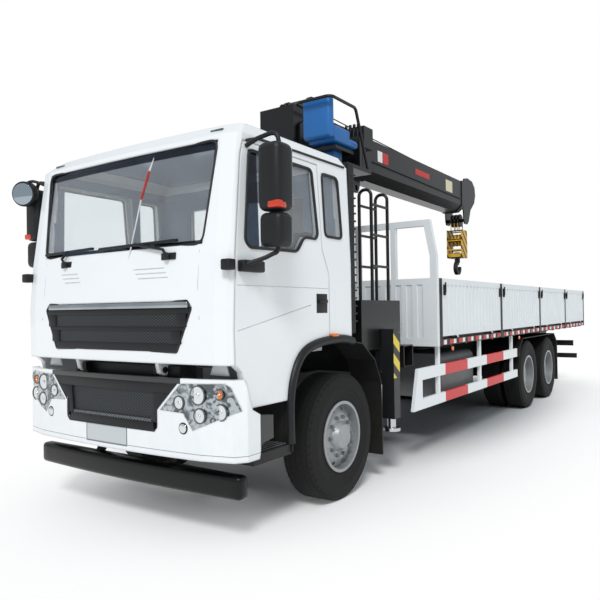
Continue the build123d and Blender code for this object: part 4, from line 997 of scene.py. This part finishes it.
for side in (1, -1):
    lip = sagging(
        [
            (side * 1152, 752, 620),
            (side * 1152, 752, 930),
            (side * 1154, 806, 1140),
            (side * 1156, 932, 1284),
            (side * 1158, 1162, 1352),
            (side * 1158, 1500, 1368),
            (side * 1156, 1700, 1340),
        ],
        5,
    )
    dress(tube("arch_lip", lip, 36), "chassis", grille_black)
    arch_lamp = block("arch_lamp", (side * 1150, 1330, 1392), (side * 1192, 1420, 1418), 8)
    dress(arch_lamp, "chassis", amber)

# Mirrors.
# Moulded black housings on bent steel arms, with a flat glass facing back and an amber turn lamp.
# Orange-red lamp plastic: the mirror's bright corner
amber_red = coat("orange_red_lamp_plastic", "#d23a12", "#bd300d", 0.25, clear=0.4, grain=300)
# Silvered glass: a cool clean mirror
mirror_glass = coat("silvered_mirror_glass", "#a9b6bf", "#9fadb7", 0.04, metal=1.0, grain=20)
for side, label in ((1, "left"), (-1, "right")):
    body = f"door_{label}"
    parts = [
        block("upper", (side * 1258, 238, 2284), (side * 1450, 426, 2748), 50, 4),
        block("lower", (side * 1262, 248, 2040), (side * 1448, 416, 2276), 46, 4),
        tube(
            "arm",
            sagging(
                [
                    (side * 1130.5, 300, 2760),
                    (side * 1250, 318, 2806),
                    (side * 1380, 330, 2790),
                    (side * 1380, 332, 2500),
                    (side * 1378, 332, 2070),
                    (side * 1330, 300, 1990),
                    (side * 1200, 200, 1930),
                ],
                5,
            ),
            16,
        ),
        block("bracket", (side * 1150.3, 160, 1880), (side * 1210, 400, 1960), 14, 3),
    ]
    housing = joined(f"mirror_housing_{label}", parts)
    dress(housing, body, grille_black)
    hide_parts(f"mirror_{label}")
    for name, front, low, high in (("mirror_face", 422, 2315, 2715), ("mirror_face_low", 412, 2078, 2252)):
        face = block(name, (side * 1284, front, low), (side * 1430, front + 6, high), 2)
        dress(face, body, mirror_glass)
    turn_lamp = block("mirror_turn_lamp", (side * 1352, 236, 2298), (side * 1450, 330, 2348), 12)
    dress(turn_lamp, body, amber_red)
    cover = block("mirror_root_cover", (side * 1104, 40, 1888), (side * 1182, 116, 1962), 12, 3)
    dress(cover, "cab", grille_black)
far = [tube("front_mirror_arm", sagging([(-1120, 300, 2740), (-1230, 190, 2800), (-1330, 150, 2760)], 5), 13),
       rod("front_mirror_shell", (-1345, 215, 2700), (-1310, 140, 2690), 112, 40, bevel=10)]
dress(joined("front_mirror", far), "door_right", grille_black)
far_face = rod("front_mirror_face", (-1313, 146, 2690), (-1307, 134, 2689), 96, 40, bevel=3)
dress(far_face, "door_right", mirror_glass)

# Roof lamps.
# Small clear position lamps screwed to both ends of the roof's front edge.
for side in (-1, 1):
    at = skin("cab_shell", side * 900, 2892)
    roof_lamp = block("roof_lamp", (side * 850, at - 8, 2882), (side * 965, at + 40, 2902), 6)
    dress(roof_lamp, "cab", dark_bezel)

# Boom plates.
# Thin printed panels riveted to the boom's side; their words are left off, so they are blank.
# Blank plates: flat printed white, red and cream
plate_white = coat("blank_white_plate", "#e5e7e6", "#dcdedd", 0.4, grain=200)
plate_red = coat("blank_red_plate", "#c6211f", "#b31c1a", 0.4, grain=200)
plate_cream = coat("blank_cream_plate", "#d9d3b8", "#cfc9ab", 0.45, grain=200)
for side in (-1, 1):
    x = (side * 214, side * 217)
    for name, begin, end, low, high, material in (
        ("plate_white", 4080, 4210, 3500, 3640, plate_white),
        ("plate_red", 4225, 4380, 3500, 3640, plate_red),
        ("plate_red_long", 5250, 5760, 3540, 3620, plate_red),
        ("plate_cream", 6420, 6700, 3480, 3660, plate_cream),
    ):
        printed = block(name, (x[0], begin, low), (x[1], end, high), 0)
        dress(printed, "boom_base", material)

# Winch rope.
# A steel wire rope, wound in close turns on the drum and led over the boom's top to the head sheave.
# Greased wire rope: dark, grained and dully metallic
rope_steel = coat("greased_wire_rope", "#3c3b38", "#55534e", 0.5, metal=0.6, grain=500, bump=0.5)
turns = [
    (-118 + 236 * k / 240, 2640 + 76 * math.cos(math.tau * k / 20), 3845 + 76 * math.sin(math.tau * k / 20))
    for k in range(240)
]
dress(tube("rope_turns", turns, 8, sides=1), "boom_base", rope_steel)
for start, end, first, last in (
    ((0, 2640, 3921), (0, 7240, 3823), "boom_base", "boom_2"),
    ((0, 7240, 3823), (0, 7790, 3811), "boom_2", "boom_3"),
):
    rope = rod("rope_to_head", start, end, 7, 10)
    rope.data.materials.append(rope_steel)
    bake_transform(rope)

# Operator's seat.
# One rotation-moulded blue plastic bucket with rounded edges, bolted through its floor to a steel post.
shell = [
    block("cushion", (342, 2262, 3300), (680, 2735, 3385), 38, 4),
    block("back", (342, 2160, 3320), (680, 2262, 3745), 45, 4),
    block("wing", (342, 2240, 3330), (392, 2560, 3460), 24, 3),
    block("wing", (630, 2240, 3330), (680, 2560, 3460), 24, 3),
    block("post", (440, 2400, 3100), (580, 2560, 3310), 10),
]
bucket = joined("seat_bucket", shell)
dress(bucket, "column", seat_plastic)
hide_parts("operator_seat")

# Hoses and levers.
# Black rubber hydraulic hoses with crimped ends, and a row of steel levers with round plastic knobs.
# Black hydraulic hose: dull rubber with a fine weave
hose_rubber = coat("black_hydraulic_hose", "#141516", "#1d1e1f", 0.5, grain=400, bump=0.3)
hoses = []
for k in range(4):
    x = 262 + 22 * k
    hoses.append(
        tube(
            "hose",
            sagging(
                [
                    (x, 2790, 3110 - 20 * k),
                    (x + 14, 2980, 2860 - 30 * k),
                    (x - 20, 2840, 2500),
                    (x - 60, 2700, 2090),
                ],
                6,
            ),
            11,
        )
    )
dress(joined("column_hoses", hoses), "column", hose_rubber)
boom_hoses = []
for k in range(3):
    z = 3395 + 30 * k
    boom_hoses.append(
        tube(
            "boom_hose",
            sagging([(232, 2520, z), (240, 3200, z + 6), (300, 3400, z + 60), (300, 3450, 3510)], 5), 10,
        )
    )
boom_hoses.append(tube("boom_pipe", [(224, 3560, 3470), (226, 5200, 3455), (226, 7080, 3440)], 9))
dress(joined("boom_hoses", boom_hoses), "boom_base", hose_rubber)
levers = []
for k in range(6):
    x = 345 + 50 * k
    levers.append(rod("lever", (x, 2860, 3470), (x, 2885, 3600), 6, 12))
    levers.append(rod("knob", (x, 2883, 3592), (x, 2890, 3630), 17, 16, bevel=6))
levers.append(block("valve_block", (330, 2825, 3330), (630, 2900, 3475), 6))
dress(joined("control_levers", levers), "column", grille_black)

# Bed markings and latches.
# Red and white reflective squares stuck along the rave, and forged drop latches bolted at each post.
for side in (-1, 1):
    reds = []
    whites = []
    for k in range(28):
        d = 3520 + 300 * k
        reds.append(block("red_square", (side * 1229, d, 1206), (side * 1232, d + 120, 1257), 0))
        whites.append(block("white_square", (side * 1229, d + 130, 1206), (side * 1232, d + 210, 1257), 0))
    dress(joined("red_reflectors", reds), "chassis", plate_red)
    dress(joined("white_reflectors", whites), "chassis", plate_white)
    latches = []
    for d in (3640, 5710, 5890, 7900, 8080, 9895, 10075, 11770):
        latches.append(block("latch", (side * 1239, d - 22, 1760), (side * 1262, d + 22, 1880), 6))
        latches.append(rod("latch_bar", (side * 1262, d, 1790), (side * 1262, d, 1905), 9, 12))
    # each latch stays on its post, so the gates swing clear of it
    dress(joined("gate_latches", latches), "chassis", chassis_black)
    for d in (3900, 6700):
        marker = rod("side_marker", (side * 1225, d, 1150), (side * 1241, d, 1150), 26, 20, bevel=4)
        dress(marker, "chassis", amber)

# Rear lamps and step plate.
# Red and amber lamp units bolted to the rear bar, and a punched aluminium plate on each cab step.
# Red lamp plastic: deep red with a clear shine
lamp_red = coat("red_lamp_plastic", "#a5120f", "#8d0f0c", 0.25, clear=0.4, grain=300)
# Punched aluminium: light points on a dark plate
step_plate = meshed("punched_aluminium_plate", "#35383a", "#b9bdbf", 0.04, 0.7)
for side in (-1, 1):
    for name, start, end, front, back, low, high, slot, material in (
        ("rear_lamp_red", 760, 930, 11822, 11850, 760, 850, "lamp_glass", lamp_red),
        ("rear_lamp_amber", 935, 1010, 11822, 11850, 760, 850, "lamp_glass", amber),
        ("rear_lamp_board", 420, 1030, 11812, 11824, 745, 865, "trim_dark", chassis_black),
    ):
        bevel = 4 if name == "rear_lamp_board" else 6
        unit = block(name, (side * start, front, low), (side * end, back, high), bevel)
        dress(unit, "chassis", material)
    step = block("step_plate", (side * 905, 318, 619), (side * 1150, 736, 626), 2)
    dress(step, "chassis", step_plate)

# Air intake.
# A ribbed black plastic duct stands behind the cab, bracketed to the frame.
ribs = [block("rib", (806, 1761, z), (1084, 1934, z + 16), 5) for z in range(1500, 2880, 70)]
dress(joined("intake_ribs", ribs), "chassis", grille_black)
